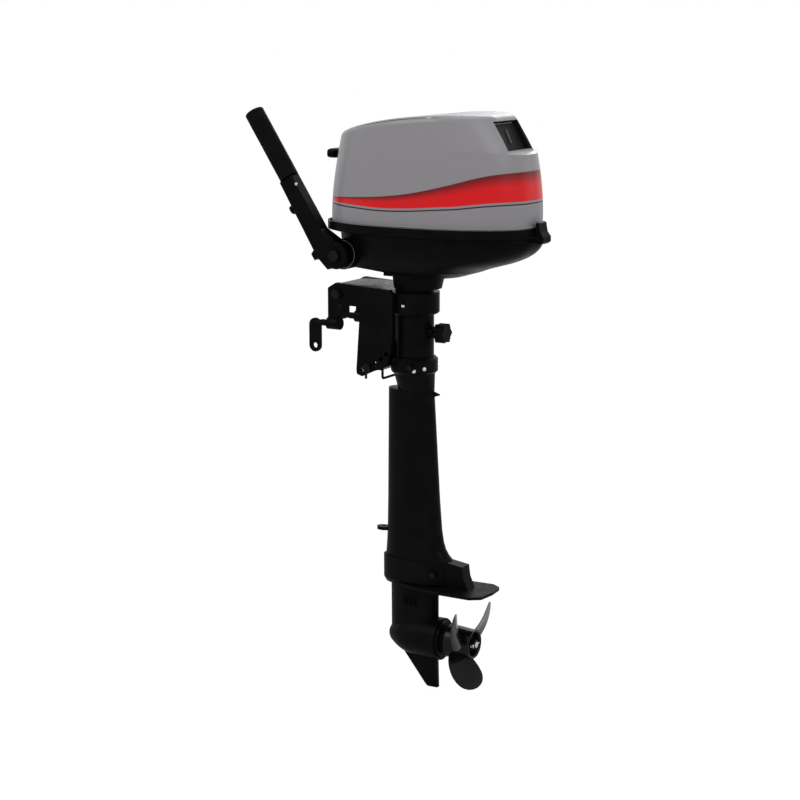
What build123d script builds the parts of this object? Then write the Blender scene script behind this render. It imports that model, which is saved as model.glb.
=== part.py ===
from build123d import *
import math
import os

# Portable outboard motor, long shaft, tiller steered. Millimetres.
# +X points aft, +Y to starboard, +Z up. The origin is where the transom's top edge and
# its outer face meet the clamp brackets, on the centre plane.

# ---------------------------------------------------------------- driving dimensions
STEER_X = 90.0  # steering, drive shaft and crankshaft axis, aft of the transom face
PLATE_Z = -562.0  # underside of the anti-ventilation plate: the long-shaft transom height
PROP_Z = -669.0  # propeller shaft axis
SKEG_Z = -772.0  # lowest point of the skeg
SEAM_Z = 168.0  # joint between the lower cowl and the top cowl
RUN = 0.05  # radial running clearance of a shaft in its bearing
GAP = 0.5  # clearance between parts that move past each other

# exponents of the superellipses seen in plan, as (after half, fore half)
CASE_SHAPE = (2.5, 2.3)
LEG_SHAPE = (2.2, 2.2)
STRUT_SHAPE = (2.0, 2.0)

TILT_X, TILT_Z = -52.0, 22.0  # tilt bolt
TILT_BOLT_R = 6.0
BRACKET_IN, BRACKET_OUT = 48.0, 58.0  # inner and outer faces of a clamp bracket, from centre
SCREW_Y, SCREW_Z = 53.0, -38.0
SCREW_R = 6.5
PIN_X, PIN_Z, PIN_R = 19.0, -118.0, 4.5  # trim pin

TUBE_R, TUBE_IN = 38.5, 33.0  # swivel tube
COLLAR_R, MOUNT_R = 49.5, 46.5  # collar at the tube's top, and the lower mount under it
COLUMN_R, COLUMN_IN = 30.0, 25.0  # steering column tube
SWIVEL_TOP, SWIVEL_BOTTOM = 31.0, -97.0
NECK_Z, PAN_Z, RIM_Z, LEDGE_Z = 38.0, 66.0, 152.0, 156.0  # levels under and in the lower cowl
LEG_TOP, LEG_SHOULDER, LEG_FOOT = -130.0, -163.0, -505.0

PIVOT_X, PIVOT_Z = -32.0, 103.0  # tiller pivot
TILLER_IN, TILLER_OUT = 70.5, 99.5  # tiller arm, distances to port
TILLER_RISE = 57.0  # degrees above the horizontal, forward
TILLER_DROP = 14.5  # arm axis below the pivot, square to the arm
GRIP_START, GRIP_END = 183.0, 334.0  # along the arm from the pivot

PINION_TEETH, GEAR_TEETH = 13, 28
GEAR_R = 26.6  # pitch radius of the output gears at their large end
PINION_R = GEAR_R * PINION_TEETH / GEAR_TEETH
CAVITY_R = 30.0  # gear chamber
CRANK_Z0, CRANK_Z1 = 97.0, 252.0

PROP_R = 99.0
PROP_PITCH = 170.0
PROP_TURN = -79.0  # rest angle of the first blade about the shaft

os.makedirs("parts", exist_ok=True)


GRIP_R = 19.3
COWL_WALL, LEG_WALL = 3.0, 4.0
UP = (Align.CENTER, Align.CENTER, Align.MIN)
MIDDLE = (Align.CENTER, Align.CENTER, Align.CENTER)


def save(piece, name):
    """Labels a finished piece and writes it as its own node."""
    piece.part.label = name
    export_step(piece.part, f"parts/{name}.step")


def level(z):
    """A horizontal plane at height z."""
    return Plane.XY.offset(z)


def port(y):
    """The fore-and-aft vertical plane y millimetres to port; extrusions go further to port."""
    return Plane.XZ.offset(y)


def aft(x, y=0.0, z=PROP_Z):
    """A place whose own z axis points aft."""
    return Plane(origin=(x, y, z), x_dir=(0, 1, 0), z_dir=(1, 0, 0))


def outboard(x, y, z, side=-1):
    """A place whose own z axis points to port (side -1) or to starboard (side 1)."""
    return Plane(origin=(x, y, z), x_dir=(1, 0, 0), z_dir=(0, side, 0))


def oval(z, front, rear, half_width, shape=CASE_SHAPE, turns=28):
    """A horizontal superellipse face from x = front to x = rear."""
    middle, half_length = (front + rear) / 2, (rear - front) / 2
    points = []
    for step in range(turns):
        angle = 2 * math.pi * step / turns
        c, s = math.cos(angle), math.sin(angle)
        power = shape[0] if c >= 0 else shape[1]
        x = middle + half_length * math.copysign(abs(c) ** (2 / power), c)
        y = half_width * math.copysign(abs(s) ** (2 / power), s)
        points.append((x, y))
    with BuildSketch(level(z)) as face:
        with BuildLine():
            Spline(*points, periodic=True)
        make_face()
    return face.sketch


def hull(sections, shape=CASE_SHAPE, ruled=False):
    """A solid through ovals given as (z, front, rear, half width)."""
    with BuildPart() as body:
        loft(sections=[oval(*section, shape=shape) for section in sections], ruled=ruled)
    return body.part


def shrink(sections, wall):
    """The same ovals pulled in by a wall's thickness."""
    return [(z, front + wall, rear - wall, width - wall) for z, front, rear, width in sections]


# ---------------------------------------------------------------- clamp brackets
BOSS_X0, BOSS_X1, BOSS_R = -76.0, -52.0, 12.0  # threaded boss of a clamp screw
PLATE = [(-74, -40), (-74, 33), (-56, 44), (17, 40), (66, 37), (74, 29), (72, -60), (60, -115), (24, -128),
         (4, -138), (-8, -134), (-9, -125), (0, 0), (-49, 0), (BOSS_X1 - 0.5, -22), (BOSS_X1 - 0.5, -40)]
PIN_ARM = math.hypot(PIN_X - TILT_X, PIN_Z - TILT_Z)
PIN_ANGLE = math.degrees(math.atan2(PIN_Z - TILT_Z, PIN_X - TILT_X))
TRIM_HOLES = [PIN_ANGLE + step for step in (-6, 0, 6, 12, 18)]

for side, name in ((-1, "clamp_bracket_port"), (1, "clamp_bracket_starboard")):
    with BuildPart() as bracket:
        with BuildSketch(port(-side * BRACKET_IN)):
            with BuildLine():
                Polyline(*PLATE, close=True)
            make_face()
            fillet(vertices(), 4)
        extrude(amount=-side * (BRACKET_OUT - BRACKET_IN))
        with Locations(aft(BOSS_X0, side * SCREW_Y, SCREW_Z)):
            Cylinder(BOSS_R, BOSS_X1 - BOSS_X0, align=UP)
        with Locations(outboard(TILT_X, side * BRACKET_OUT, TILT_Z, side)):
            Cylinder(13, 2, align=UP)
        with Locations(outboard(TILT_X, side * 40, TILT_Z, side)):
            Cylinder(TILT_BOLT_R, 40, align=UP, mode=Mode.SUBTRACT)
        with Locations(aft(BOSS_X0 - 5, side * SCREW_Y, SCREW_Z)):
            Cylinder(SCREW_R + RUN, 40, align=UP, mode=Mode.SUBTRACT)
        for turn in TRIM_HOLES:
            hole_x = TILT_X + PIN_ARM * math.cos(math.radians(turn))
            hole_z = TILT_Z + PIN_ARM * math.sin(math.radians(turn))
            with Locations(outboard(hole_x, side * 40, hole_z, side)):
                Cylinder(PIN_R + RUN, 40, align=UP, mode=Mode.SUBTRACT)
    save(bracket, name)

with BuildPart() as tilt_bolt:
    with Locations(outboard(TILT_X, 0, TILT_Z)):
        Cylinder(TILT_BOLT_R, 2 * (BRACKET_OUT + 2), align=MIDDLE)
    for side in (-1, 1):
        with BuildSketch(outboard(TILT_X, side * (BRACKET_OUT + 2), TILT_Z, side)):
            RegularPolygon(10, 6)
        extrude(amount=7)
save(tilt_bolt, "tilt_bolt")

# ---------------------------------------------------------------- clamp screws and pads
# the pad's disc starts at PAD_X with its screw wound right back
PAD_X, PAD_THICK, PAD_HUB = BOSS_X1 + GAP, 4.5, 9.0
PAD_R = 12.0
LEVER_X0, LEVER_X1, LEVER_DROP = -120.0, -93.0, 60.0
LEVER_HANG = {"port": -1, "starboard": 1}  # one lever hangs down and the other stands up

for side, word in ((-1, "port"), (1, "starboard")):
    y = side * SCREW_Y
    with BuildPart() as pad:
        with Locations(aft(PAD_X, y, SCREW_Z)):
            Cylinder(PAD_R, PAD_THICK, align=UP)
        with Locations(aft(PAD_X - PAD_HUB, y, SCREW_Z)):
            Cylinder(SCREW_R, PAD_HUB, align=UP)
            Cylinder(4 + RUN, PAD_HUB + 2, align=UP, mode=Mode.SUBTRACT)
        fillet(pad.edges().filter_by(GeomType.CIRCLE).group_by(Axis.X)[-1], 1.5)
    save(pad, f"clamp_pad_{word}")

    with BuildPart() as screw:
        with Locations(aft(PAD_X - PAD_HUB - GAP, y, SCREW_Z)):
            Cylinder(4, PAD_HUB + 2, align=UP)
        with Locations(aft(BOSS_X0 - 15, y, SCREW_Z)):
            Cylinder(SCREW_R, PAD_X - PAD_HUB - GAP - BOSS_X0 + 15, align=UP)
        with Locations(aft(LEVER_X0 + 13, y, SCREW_Z)):
            Cylinder(5.5, 22, align=UP)
        with BuildSketch(port(-y - 2.5)):
            middle_x, hang = (LEVER_X0 + LEVER_X1) / 2, LEVER_HANG[word]
            with Locations((middle_x, SCREW_Z + hang * (LEVER_DROP / 2 - 4))):
                SlotOverall(LEVER_DROP + 8, LEVER_X1 - LEVER_X0, rotation=90)
            with Locations((middle_x, SCREW_Z + hang * (LEVER_DROP - 13))):
                Circle(5.5, mode=Mode.SUBTRACT)
        extrude(amount=5)
    save(screw, f"clamp_screw_{word}")

with BuildPart() as trim_pin:
    with Locations(outboard(PIN_X, 0, PIN_Z)):
        Cylinder(PIN_R, 2 * BRACKET_OUT + 12, align=MIDDLE)
    with Locations(outboard(PIN_X, -BRACKET_OUT - 6, PIN_Z)):
        Cylinder(8, 4, align=UP)
    with BuildSketch(port(BRACKET_OUT + 8)):
        with Locations((PIN_X, PIN_Z - 10)):
            SlotOverall(24, 4, rotation=90)
    extrude(amount=3)
save(trim_pin, "trim_pin")

# ---------------------------------------------------------------- swivel bracket
ARM_HALF = BRACKET_IN - 2.0
BAIL_X, BAIL_Z, BAIL_R, BAIL_HALF, BAIL_DROP = 39.5, -112.0, 2.5, 38.5, 30.0
KNOB_Z, COLLAR_Z = -48.0, -12.0

with BuildPart() as swivel_bracket:
    with BuildSketch(Plane.XZ):
        with BuildLine():
            Polyline((-66, 6), (-66, 32), (-54, 42), (14, 41), (44, 31), (66, 31), (66, 6), close=True)
        make_face()
        fillet(vertices().group_by(Axis.X)[0], 5)
    extrude(amount=ARM_HALF, both=True)
    with BuildSketch(Plane.XZ):
        with BuildLine():
            Polyline((24, -128), (32, -128), (42.5, -120), (42.5, -96.5), (70, -96.5), (70, -70), (36, -70),
                     (24, -96), close=True)
        make_face()
    extrude(amount=30, both=True)
    with BuildSketch(Plane.XZ):
        with Locations((50, -40)):
            Rectangle(40, 96)
    extrude(amount=14, both=True)
    with Locations((STEER_X, 0, SWIVEL_BOTTOM)):
        Cylinder(TUBE_R, SWIVEL_TOP - SWIVEL_BOTTOM, align=UP)
    with Locations((STEER_X, 0, COLLAR_Z)):
        Cylinder(COLLAR_R, SWIVEL_TOP - COLLAR_Z, align=UP)
    collar_rims = edges().filter_by(GeomType.CIRCLE).filter_by(lambda e: e.radius == COLLAR_R)
    chamfer(collar_rims.group_by(Axis.Z)[0], 3)
    with Locations(aft(120, 0, KNOB_Z)):
        Cylinder(12, 14, align=UP)
    with Locations((STEER_X, 0, SWIVEL_BOTTOM)):
        Cylinder(TUBE_IN, SWIVEL_TOP - SWIVEL_BOTTOM, align=UP, mode=Mode.SUBTRACT)
    with Locations(aft(120, 0, KNOB_Z)):
        Cylinder(5 + RUN, 14, align=UP, mode=Mode.SUBTRACT)
    with Locations(outboard(TILT_X, 0, TILT_Z)):
        Cylinder(TILT_BOLT_R + RUN, 120, align=MIDDLE, mode=Mode.SUBTRACT)
    with Locations(outboard(BAIL_X, 0, BAIL_Z)):
        Cylinder(BAIL_R + RUN, 80, align=MIDDLE, mode=Mode.SUBTRACT)
    with Locations(outboard(STEER_X, -47, 14)):
        Cylinder(4, 7, align=UP)
save(swivel_bracket, "swivel_bracket")

with BuildPart() as swivel_bushes:
    for z in (SWIVEL_BOTTOM, SWIVEL_TOP - 20):
        with Locations((STEER_X, 0, z)):
            Cylinder(TUBE_IN, 20, align=UP)
            Cylinder(COLUMN_R + RUN, 20, align=UP, mode=Mode.SUBTRACT)
save(swivel_bushes, "swivel_bushes")

with BuildPart() as tilt_support:
    with BuildLine():
        FilletPolyline((BAIL_X, 24, BAIL_Z), (BAIL_X, BAIL_HALF, BAIL_Z),
                       (BAIL_X, BAIL_HALF, BAIL_Z - BAIL_DROP), (BAIL_X, -BAIL_HALF, BAIL_Z - BAIL_DROP),
                       (BAIL_X, -BAIL_HALF, BAIL_Z), (BAIL_X, -24, BAIL_Z), radius=5)
    with BuildSketch(outboard(BAIL_X, 24, BAIL_Z, 1)):
        Circle(BAIL_R)
    sweep()
save(tilt_support, "tilt_support")

with BuildPart() as steering_knob:
    with Locations(aft(125, 0, KNOB_Z)):
        Cylinder(5, 20, align=UP)
    with BuildSketch(aft(142, 0, KNOB_Z)):
        Circle(18)
        with PolarLocations(18, 6):
            Circle(2.5)
        with PolarLocations(21, 6, start_angle=30):
            Circle(5, mode=Mode.SUBTRACT)
    extrude(amount=21)
save(steering_knob, "steering_friction_knob")

# ---------------------------------------------------------------- steering column and leg
with BuildPart() as steering_column:
    with Locations((STEER_X, 0, SWIVEL_BOTTOM - 1)):
        Cylinder(COLUMN_R, NECK_Z - SWIVEL_BOTTOM + 1, align=UP)
    with Locations((STEER_X, 0, SWIVEL_TOP + 0.5)):
        Cylinder(38, NECK_Z - SWIVEL_TOP - 0.5, align=UP)
    add(hull([(NECK_Z, 50, 145, 41), (PAN_Z, 46, 152, 44)], shape=LEG_SHAPE))
    with Locations((STEER_X, 0, SWIVEL_BOTTOM - 1)):
        Cylinder(COLUMN_IN, 200, align=UP, mode=Mode.SUBTRACT)
save(steering_column, "steering_column")

with BuildPart() as lower_mount:
    with Locations((STEER_X, 0, LEG_TOP)):
        Cylinder(MOUNT_R, SWIVEL_BOTTOM - 1 - LEG_TOP, align=UP)
    chamfer(lower_mount.edges(), 4)
    for side in (-1, 1):
        with Locations(outboard(STEER_X + 16, side * 30, -114, side)):
            Cylinder(8, MOUNT_R - 30, align=UP)
    with Locations((STEER_X, 0, LEG_TOP)):
        Cylinder(COLUMN_IN, 60, align=UP, mode=Mode.SUBTRACT)
save(lower_mount, "lower_mount")

THROAT = [(LEG_SHOULDER, 58, 131, 31), (LEG_TOP, 50, 130, 39)]
LEG = [(LEG_FOOT, 28, 176, 33), (-496, 29, 167, 33), (-485, 30, 160, 32), (-470, 31, 155, 32),
       (-445, 32, 151, 31), (-385, 33, 146, 30), (LEG_SHOULDER, 35, 132, 29)]
LEG_CORE = shrink(LEG, LEG_WALL)
with BuildPart() as driveshaft_housing:
    add(hull(LEG, LEG_SHAPE, ruled=True))
    add(hull(THROAT, LEG_SHAPE))
    add(hull([(LEG_FOOT, 32, 156, 29), LEG_CORE[4], (LEG_SHOULDER - 6, 39, 127, 25)], LEG_SHAPE,
             ruled=True), mode=Mode.SUBTRACT)
    with Locations((STEER_X, 0, LEG_SHOULDER - 20)):
        Cylinder(COLUMN_IN, 60, align=UP, mode=Mode.SUBTRACT)
    with BuildSketch(level(-459)):
        with Locations((20, 0)):
            Ellipse(15, 11)
            Circle(3, mode=Mode.SUBTRACT)
    extrude(amount=7)
    with Locations(aft(127, 0, -171)):
        Cone(8, 1.5, 20, align=UP)
save(driveshaft_housing, "driveshaft_housing")

# ---------------------------------------------------------------- gearcase
STRUT = [(PROP_Z, 40, 145, 26), (PLATE_Z, 39, 145, 25)]
BAND = [(-561, 28, 172, 29), (-552, 23, 176, 34), (LEG_FOOT, 23, 176, 35)]
CHAMBER_X, SEAT_END, CARRIER_X, CASE_END = 56.0, 69.0, 116.5, 157.0
SEAT_R = 22.0  # seat of the foremost bearing, ahead of the gear chamber
ROD_X, ROD_R = 69.0, 2.5

with BuildPart() as gearcase:
    add(hull(BAND, LEG_SHAPE, ruled=True))
    add(hull(STRUT, STRUT_SHAPE))
    for side in (-1, 1):
        with Locations(outboard(150, side * 18, -530, side)):
            Cylinder(8, 13, align=UP)
    with BuildSketch(Plane.XZ):
        with BuildLine():
            Polyline((120, LEG_FOOT), (172, LEG_FOOT), (207, -510), (210, -532), (222, -560), (60, -560),
                     close=True)
        make_face()
    extrude(amount=15, both=True)
    with BuildSketch(level(PLATE_Z)):
        with BuildLine():
            Polyline((44, 0), (60, 28), (120, 46), (165, 52), (242, 54), (263, 40), (267, 0))
            Polyline((267, 0), (263, -40), (242, -54), (165, -52), (120, -46), (60, -28), (44, 0))
        make_face()
        fillet(vertices().filter_by(lambda v: v.X > 230 and abs(v.Y) > 1), 9)
    extrude(amount=6)
    with BuildSketch(Plane.XZ):
        with BuildLine():
            nose = Spline((36, PROP_Z), (51, PROP_Z + 23.5), (95, PROP_Z + 39.5),
                          tangents=[(0, 1), (1, 0.04)])
            Polyline(nose @ 1, (CASE_END - 14, PROP_Z + 42.5), (CASE_END, PROP_Z + 42.5),
                     (CASE_END, PROP_Z), nose @ 0)
        make_face()
    revolve(axis=Axis((0, 0, PROP_Z), (1, 0, 0)))
    with BuildSketch(Plane.XZ):
        with BuildLine():
            Polyline((52, PROP_Z - 15), (119, SKEG_Z + 4), (124, SKEG_Z), (146, SKEG_Z), (144, PROP_Z - 30),
                     close=True)
        make_face()
    extrude(amount=4.5, both=True)
    with Locations(aft(CHAMBER_X)):
        Cylinder(SEAT_R, SEAT_END - CHAMBER_X, align=UP, mode=Mode.SUBTRACT)
    with Locations(aft(SEAT_END)):
        Cylinder(CAVITY_R, CASE_END - SEAT_END, align=UP, mode=Mode.SUBTRACT)
    with Locations((STEER_X, 0, PROP_Z)):
        Cylinder(13.5, 60, align=UP, mode=Mode.SUBTRACT)
    with Locations((95, 0, -592)):
        Box(32, 80, 24, mode=Mode.SUBTRACT)
        Box(32, 2 * 21, 24)
    with Locations((STEER_X, 0, PROP_Z)):
        Cylinder(8, 200, align=UP, mode=Mode.SUBTRACT)
    with Locations((ROD_X, 0, PROP_Z)):
        Cylinder(ROD_R + 1, 200, align=UP, mode=Mode.SUBTRACT)
save(gearcase, "gearcase")

with BuildPart() as water_screens:
    for side in (-1, 1):
        with Locations((95, side * 23.25, -592)):
            Box(32, 4.5, 24)
            with GridLocations(6, 0, 5, 1):
                Box(2.5, 6, 17, mode=Mode.SUBTRACT)
save(water_screens, "water_screens")

with BuildPart() as anode:
    with Locations((244, 0, PLATE_Z)):
        Box(22, 36, 3, align=(Align.CENTER, Align.CENTER, Align.MAX))
    chamfer(anode.edges().group_by(Axis.Z)[0], 1)
save(anode, "anode")

SHAFT_R = 7.0
with BuildPart() as bearing_carrier:
    with BuildSketch(Plane.XZ):
        with BuildLine():
            Polyline((CARRIER_X, PROP_Z + SHAFT_R + RUN), (CARRIER_X, PROP_Z + CAVITY_R),
                     (CASE_END, PROP_Z + CAVITY_R), (CASE_END, PROP_Z + 38), (163, PROP_Z + 37),
                     (163, PROP_Z + 27), (168, PROP_Z + 26), (168, PROP_Z + SHAFT_R + RUN), close=True)
        make_face()
    revolve(axis=Axis((0, 0, PROP_Z), (1, 0, 0)))
save(bearing_carrier, "bearing_carrier")

# ---------------------------------------------------------------- gears
HUB_R = 14.0
TOOTH_INNER = 0.66  # the teeth's small end, as a share of the large end
BACK_OFF = 0.4  # each tooth tip stops short of the pitch cone by this


def bevel_gear(plane, large_r, other_r, teeth, back, bore):
    """A straight bevel gear. Its apex is the plane's origin and its large end faces away
    from the apex, along the plane's z axis, at the distance of the mating gear's radius."""
    far, near = other_r + BACK_OFF, other_r * TOOTH_INNER + BACK_OFF
    near_r = large_r * TOOTH_INNER
    with BuildPart() as gear:
        with BuildSketch(Plane.XZ):
            with BuildLine():
                Polyline((bore, near), (near_r, near), (large_r, far), (large_r, far + back),
                         (bore, far + back), close=True)
            make_face()
        revolve(axis=Axis.Z)
        width = math.pi * large_r / teeth
        slope = math.degrees(math.atan2(far - near, large_r - near_r))
        middle = ((near_r + large_r) / 2, 0, (near + far) / 2)
        with PolarLocations(0, teeth):
            with Locations(Location(middle, (0, -slope, 0))):
                Box(1.6 * (large_r - near_r), width * 0.8, 3, mode=Mode.SUBTRACT)
    return plane.location * gear.part


with BuildPart() as pinion:
    add(bevel_gear(Plane(origin=(STEER_X, 0, PROP_Z)), PINION_R, GEAR_R, PINION_TEETH, 8, 5.5))
save(pinion, "pinion")

for name, direction, hub_far in (("forward_gear", -1, 30.0), ("reverse_gear", 1, 26.0)):
    with BuildPart() as gear:
        place = Plane(origin=(STEER_X, 0, PROP_Z), x_dir=(0, 1, 0), z_dir=(direction, 0, 0))
        add(bevel_gear(place, GEAR_R, PINION_R, GEAR_TEETH, 7, SHAFT_R + RUN))
        with Locations(place):
            Cylinder(HUB_R, hub_far, align=UP)
            Cylinder(HUB_R + 0.5, PINION_R * TOOTH_INNER + BACK_OFF, align=UP, mode=Mode.SUBTRACT)
            Cylinder(SHAFT_R + RUN, 60, align=UP, mode=Mode.SUBTRACT)
    save(gear, name)

with BuildPart() as shaft_bearings:
    with Locations(aft(CHAMBER_X + 4)):
        Cylinder(SEAT_R, 8, align=UP)
        Cylinder(HUB_R + RUN, 8, align=UP, mode=Mode.SUBTRACT)
    with Locations(aft(CARRIER_X - 6)):
        Cylinder(CAVITY_R, 6, align=UP)
        Cylinder(HUB_R + RUN, 6, align=UP, mode=Mode.SUBTRACT)
    for z in (CRANK_Z0, 226):
        with Locations((STEER_X, 0, z)):
            Cylinder(22, 12, align=UP)
            Cylinder(12 + RUN, 12, align=UP, mode=Mode.SUBTRACT)
save(shaft_bearings, "shaft_bearings")

with BuildPart() as clutch_dog:
    with Locations(aft(STEER_X - 5)):
        Cylinder(12.5, 10, align=UP)
        with PolarLocations(12, 4):
            Box(8, 3, 30, mode=Mode.SUBTRACT)
        Cylinder(SHAFT_R + RUN, 10, align=UP, mode=Mode.SUBTRACT)
save(clutch_dog, "clutch_dog")

# ---------------------------------------------------------------- propeller
HUB_X0, HUB_X1 = 170.0, 229.0
END_R = 6.0  # the shaft's end, inside the hub
BLADE_X, BLADE_RAKE, BLADE_SKEW = 199.5, 25.0, 30.0  # millimetres aft and degrees round, root to tip
BLADE_ROOT_R, BLADE_THICK = 25.0, 4.0
ROOT_CHORD, FULL_CHORD, FULL_AT = 40.0, 83.0, 0.6
BLADE_SHARES = [0, 0.15, 0.3, 0.45, 0.6, 0.75, 0.87, 0.95, 1]
BLADE_ACROSS = [-1, -0.67, -0.33, 0, 0.33, 0.67, 1]


def blade_chord(share):
    """The blade's width at a share of the way from root to tip: it swells to FULL_AT, then rounds off."""
    if share <= FULL_AT:
        return ROOT_CHORD + (FULL_CHORD - ROOT_CHORD) * math.sin(share / FULL_AT * math.pi / 2)
    return FULL_CHORD * math.sqrt(max(1 - ((share - FULL_AT) / (1 - FULL_AT)) ** 1.9, 0.02))


def blade_point(turn, share, across):
    """A point of the blade's middle surface, a helix that is raked aft and swept round."""
    radius = BLADE_ROOT_R + (PROP_R - BLADE_ROOT_R) * share
    pitch = math.atan(PROP_PITCH / (2 * math.pi * radius))
    along = across * blade_chord(share) / 2
    angle = math.radians(turn + BLADE_SKEW * share ** 2) + along * math.cos(pitch) / radius
    x = BLADE_X + BLADE_RAKE * share + along * math.sin(pitch)
    return Vector(x, -radius * math.sin(angle), PROP_Z + radius * math.cos(angle))


with BuildPart() as propeller_shaft:
    with Locations(aft(CHAMBER_X + 2)):
        Cylinder(SHAFT_R, HUB_X0 - CHAMBER_X - 2, align=UP)
    with Locations(aft(HUB_X0)):
        Cylinder(END_R, HUB_X1 + 4 - HUB_X0, align=UP)
    with Locations(outboard(HUB_X1 + 1, 0, PROP_Z)):
        Cylinder(1.5, 30, align=MIDDLE, mode=Mode.SUBTRACT)
save(propeller_shaft, "propeller_shaft")

with BuildPart() as propeller:
    with BuildSketch(Plane.XZ):
        with BuildLine():
            Polyline((HUB_X0, PROP_Z + END_R), (HUB_X0, PROP_Z + 30), (HUB_X0 + 4, PROP_Z + 33.5),
                     (HUB_X1, PROP_Z + 29), (HUB_X1, PROP_Z + 25), (HUB_X1 - 14, PROP_Z + 21),
                     (HUB_X1 - 14, PROP_Z + END_R), close=True)
        make_face()
    revolve(axis=Axis((0, 0, PROP_Z), (1, 0, 0)))
    for blade in range(3):
        turn = PROP_TURN + 120 * blade
        grid = [[blade_point(turn, share, across) for across in BLADE_ACROSS] for share in BLADE_SHARES]
        thicken(Face.make_surface_from_array_of_points(grid), amount=BLADE_THICK / 2, both=True)
    with Locations(aft(HUB_X1 - 14)):
        Cylinder(23, 20, align=UP, mode=Mode.SUBTRACT)
    with Locations(aft(HUB_X0)):
        Cylinder(END_R, 80, align=UP, mode=Mode.SUBTRACT)
save(propeller, "propeller")

with BuildPart() as prop_nut:
    with BuildSketch(aft(HUB_X1 - 14)):
        RegularPolygon(11, 6)
        Circle(END_R, mode=Mode.SUBTRACT)
    extrude(amount=17)
    with Locations(aft(HUB_X1 + 1)):
        with PolarLocations(0, 3):
            Box(30, 3.2, 4, mode=Mode.SUBTRACT)
    with Locations(aft(HUB_X1 - 14)):
        Cylinder(16, 2, align=UP)
        Cylinder(END_R, 2, align=UP, mode=Mode.SUBTRACT)
save(prop_nut, "prop_nut")

with BuildPart() as cotter_pin:
    with Locations(outboard(HUB_X1 + 1, 0, PROP_Z)):
        Cylinder(1.4, 28, align=MIDDLE)
    with Locations(outboard(HUB_X1 + 1, -14, PROP_Z)):
        Torus(3, 1)
save(cotter_pin, "cotter_pin")

# ---------------------------------------------------------------- drive shaft and water pump
PUMP_Z = LEG_FOOT
with BuildPart() as driveshaft:
    with Locations((STEER_X, 0, PROP_Z + GEAR_R * TOOTH_INNER + BACK_OFF)):
        Cylinder(5.5, CRANK_Z0 - PROP_Z - GEAR_R * TOOTH_INNER - BACK_OFF, align=UP)
save(driveshaft, "driveshaft")

with BuildPart() as impeller:
    with Locations((STEER_X, 0, PUMP_Z + 4)):
        Cylinder(8, 12, align=UP)
        with PolarLocations(10, 6):
            Box(9, 2, 12, align=UP)
        Cylinder(5.5, 12, align=UP, mode=Mode.SUBTRACT)
save(impeller, "impeller")

with BuildPart() as water_pump:
    with Locations((STEER_X, 0, PUMP_Z)):
        Cylinder(18, 21, align=UP)
    with Locations((STEER_X, 0, PUMP_Z + 3)):
        Cylinder(15.3, 14, align=UP, mode=Mode.SUBTRACT)
    with Locations((STEER_X, 0, PUMP_Z)):
        Cylinder(6.5, 40, align=UP, mode=Mode.SUBTRACT)
    with Locations((STEER_X + 12, 0, PUMP_Z + 21)):
        Cylinder(4, 10, align=UP)
save(water_pump, "water_pump_housing")

# ---------------------------------------------------------------- lower cowl
PAN_SHAPE = (2.5, 2.0)
PAN = [(PAN_Z, 56, 196, 60), (77, -54, 234, 77), (90, -60, 275, 86), (112, -65, 334, 98),
       (124, -67, 349, 102),
       (RIM_Z, -68, 352, 110)]
PAN_FLOOR = 74.0
PAN_INSIDE = [(PAN_FLOOR, 52, 190, 56), (84, -47, 238, 74), (92, -55, 272, 82), (112, -61, 328, 94),
              (124, -63, 343, 98),
              (RIM_Z, -64, 347, 105), (SEAM_Z, -64, 347, 106)]
RIM = (-88, 355.5, 132)
RIM_WALL = 4.0
LEVER_X, LEVER_Z, LEVER_SHAFT_R = 60.0, 82.0, 4.0
FUEL_Y, FUEL_Z, FUEL_R = 26.0, 112.0, 8.0

FLARE = [(RIM_Z - 6, -69, 350, 110), (RIM_Z, *RIM), (SEAM_Z, *RIM)]



def pan_solid(sections):
    """The pan's form: a shallow flared base under a deeper curved wall."""
    with BuildPart() as body:
        add(hull(sections[:2], PAN_SHAPE, ruled=True))
        add(hull(sections[1:], PAN_SHAPE))
    return body.part


pan_body = pan_solid(PAN)
pan_inside = pan_solid(PAN_INSIDE)

with BuildPart() as lower_cowl:
    add(pan_body)
    add(hull(FLARE, ruled=True))
    add(pan_inside, mode=Mode.SUBTRACT)
    add(hull([(LEDGE_Z, RIM[0] + RIM_WALL, RIM[1] - RIM_WALL, RIM[2] - RIM_WALL),
              (SEAM_Z, RIM[0] + RIM_WALL, RIM[1] - RIM_WALL, RIM[2] - RIM_WALL)]), mode=Mode.SUBTRACT)
    with Locations((STEER_X, 0, PAN_Z)):
        Cylinder(COLUMN_IN, 20, align=MIDDLE, mode=Mode.SUBTRACT)
    with Locations((36, 0, PAN_Z - 8)):
        Box(18, 26, 10, align=UP)
    with Locations(outboard(PIVOT_X, -40, PIVOT_Z)):
        Cylinder(7, 40, align=UP, mode=Mode.SUBTRACT)
    with Locations(aft(-80, FUEL_Y, FUEL_Z)):
        Cylinder(FUEL_R, 60, align=UP, mode=Mode.SUBTRACT)
    with Locations(outboard(LEVER_X, 30, LEVER_Z, 1)):
        Cylinder(LEVER_SHAFT_R + RUN, 90, align=UP, mode=Mode.SUBTRACT)
save(lower_cowl, "lower_cowl")

with BuildPart() as tiller_bracket:
    with Locations(outboard(PIVOT_X, -30, PIVOT_Z)):
        Cylinder(30, TILLER_IN - 30.5, align=UP)
    add(pan_body, mode=Mode.SUBTRACT)
    add(hull(FLARE, ruled=True), mode=Mode.SUBTRACT)
    with Locations(outboard(PIVOT_X, -30, PIVOT_Z)):
        Cylinder(7, 60, align=UP, mode=Mode.SUBTRACT)
save(tiller_bracket, "tiller_bracket")

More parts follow.
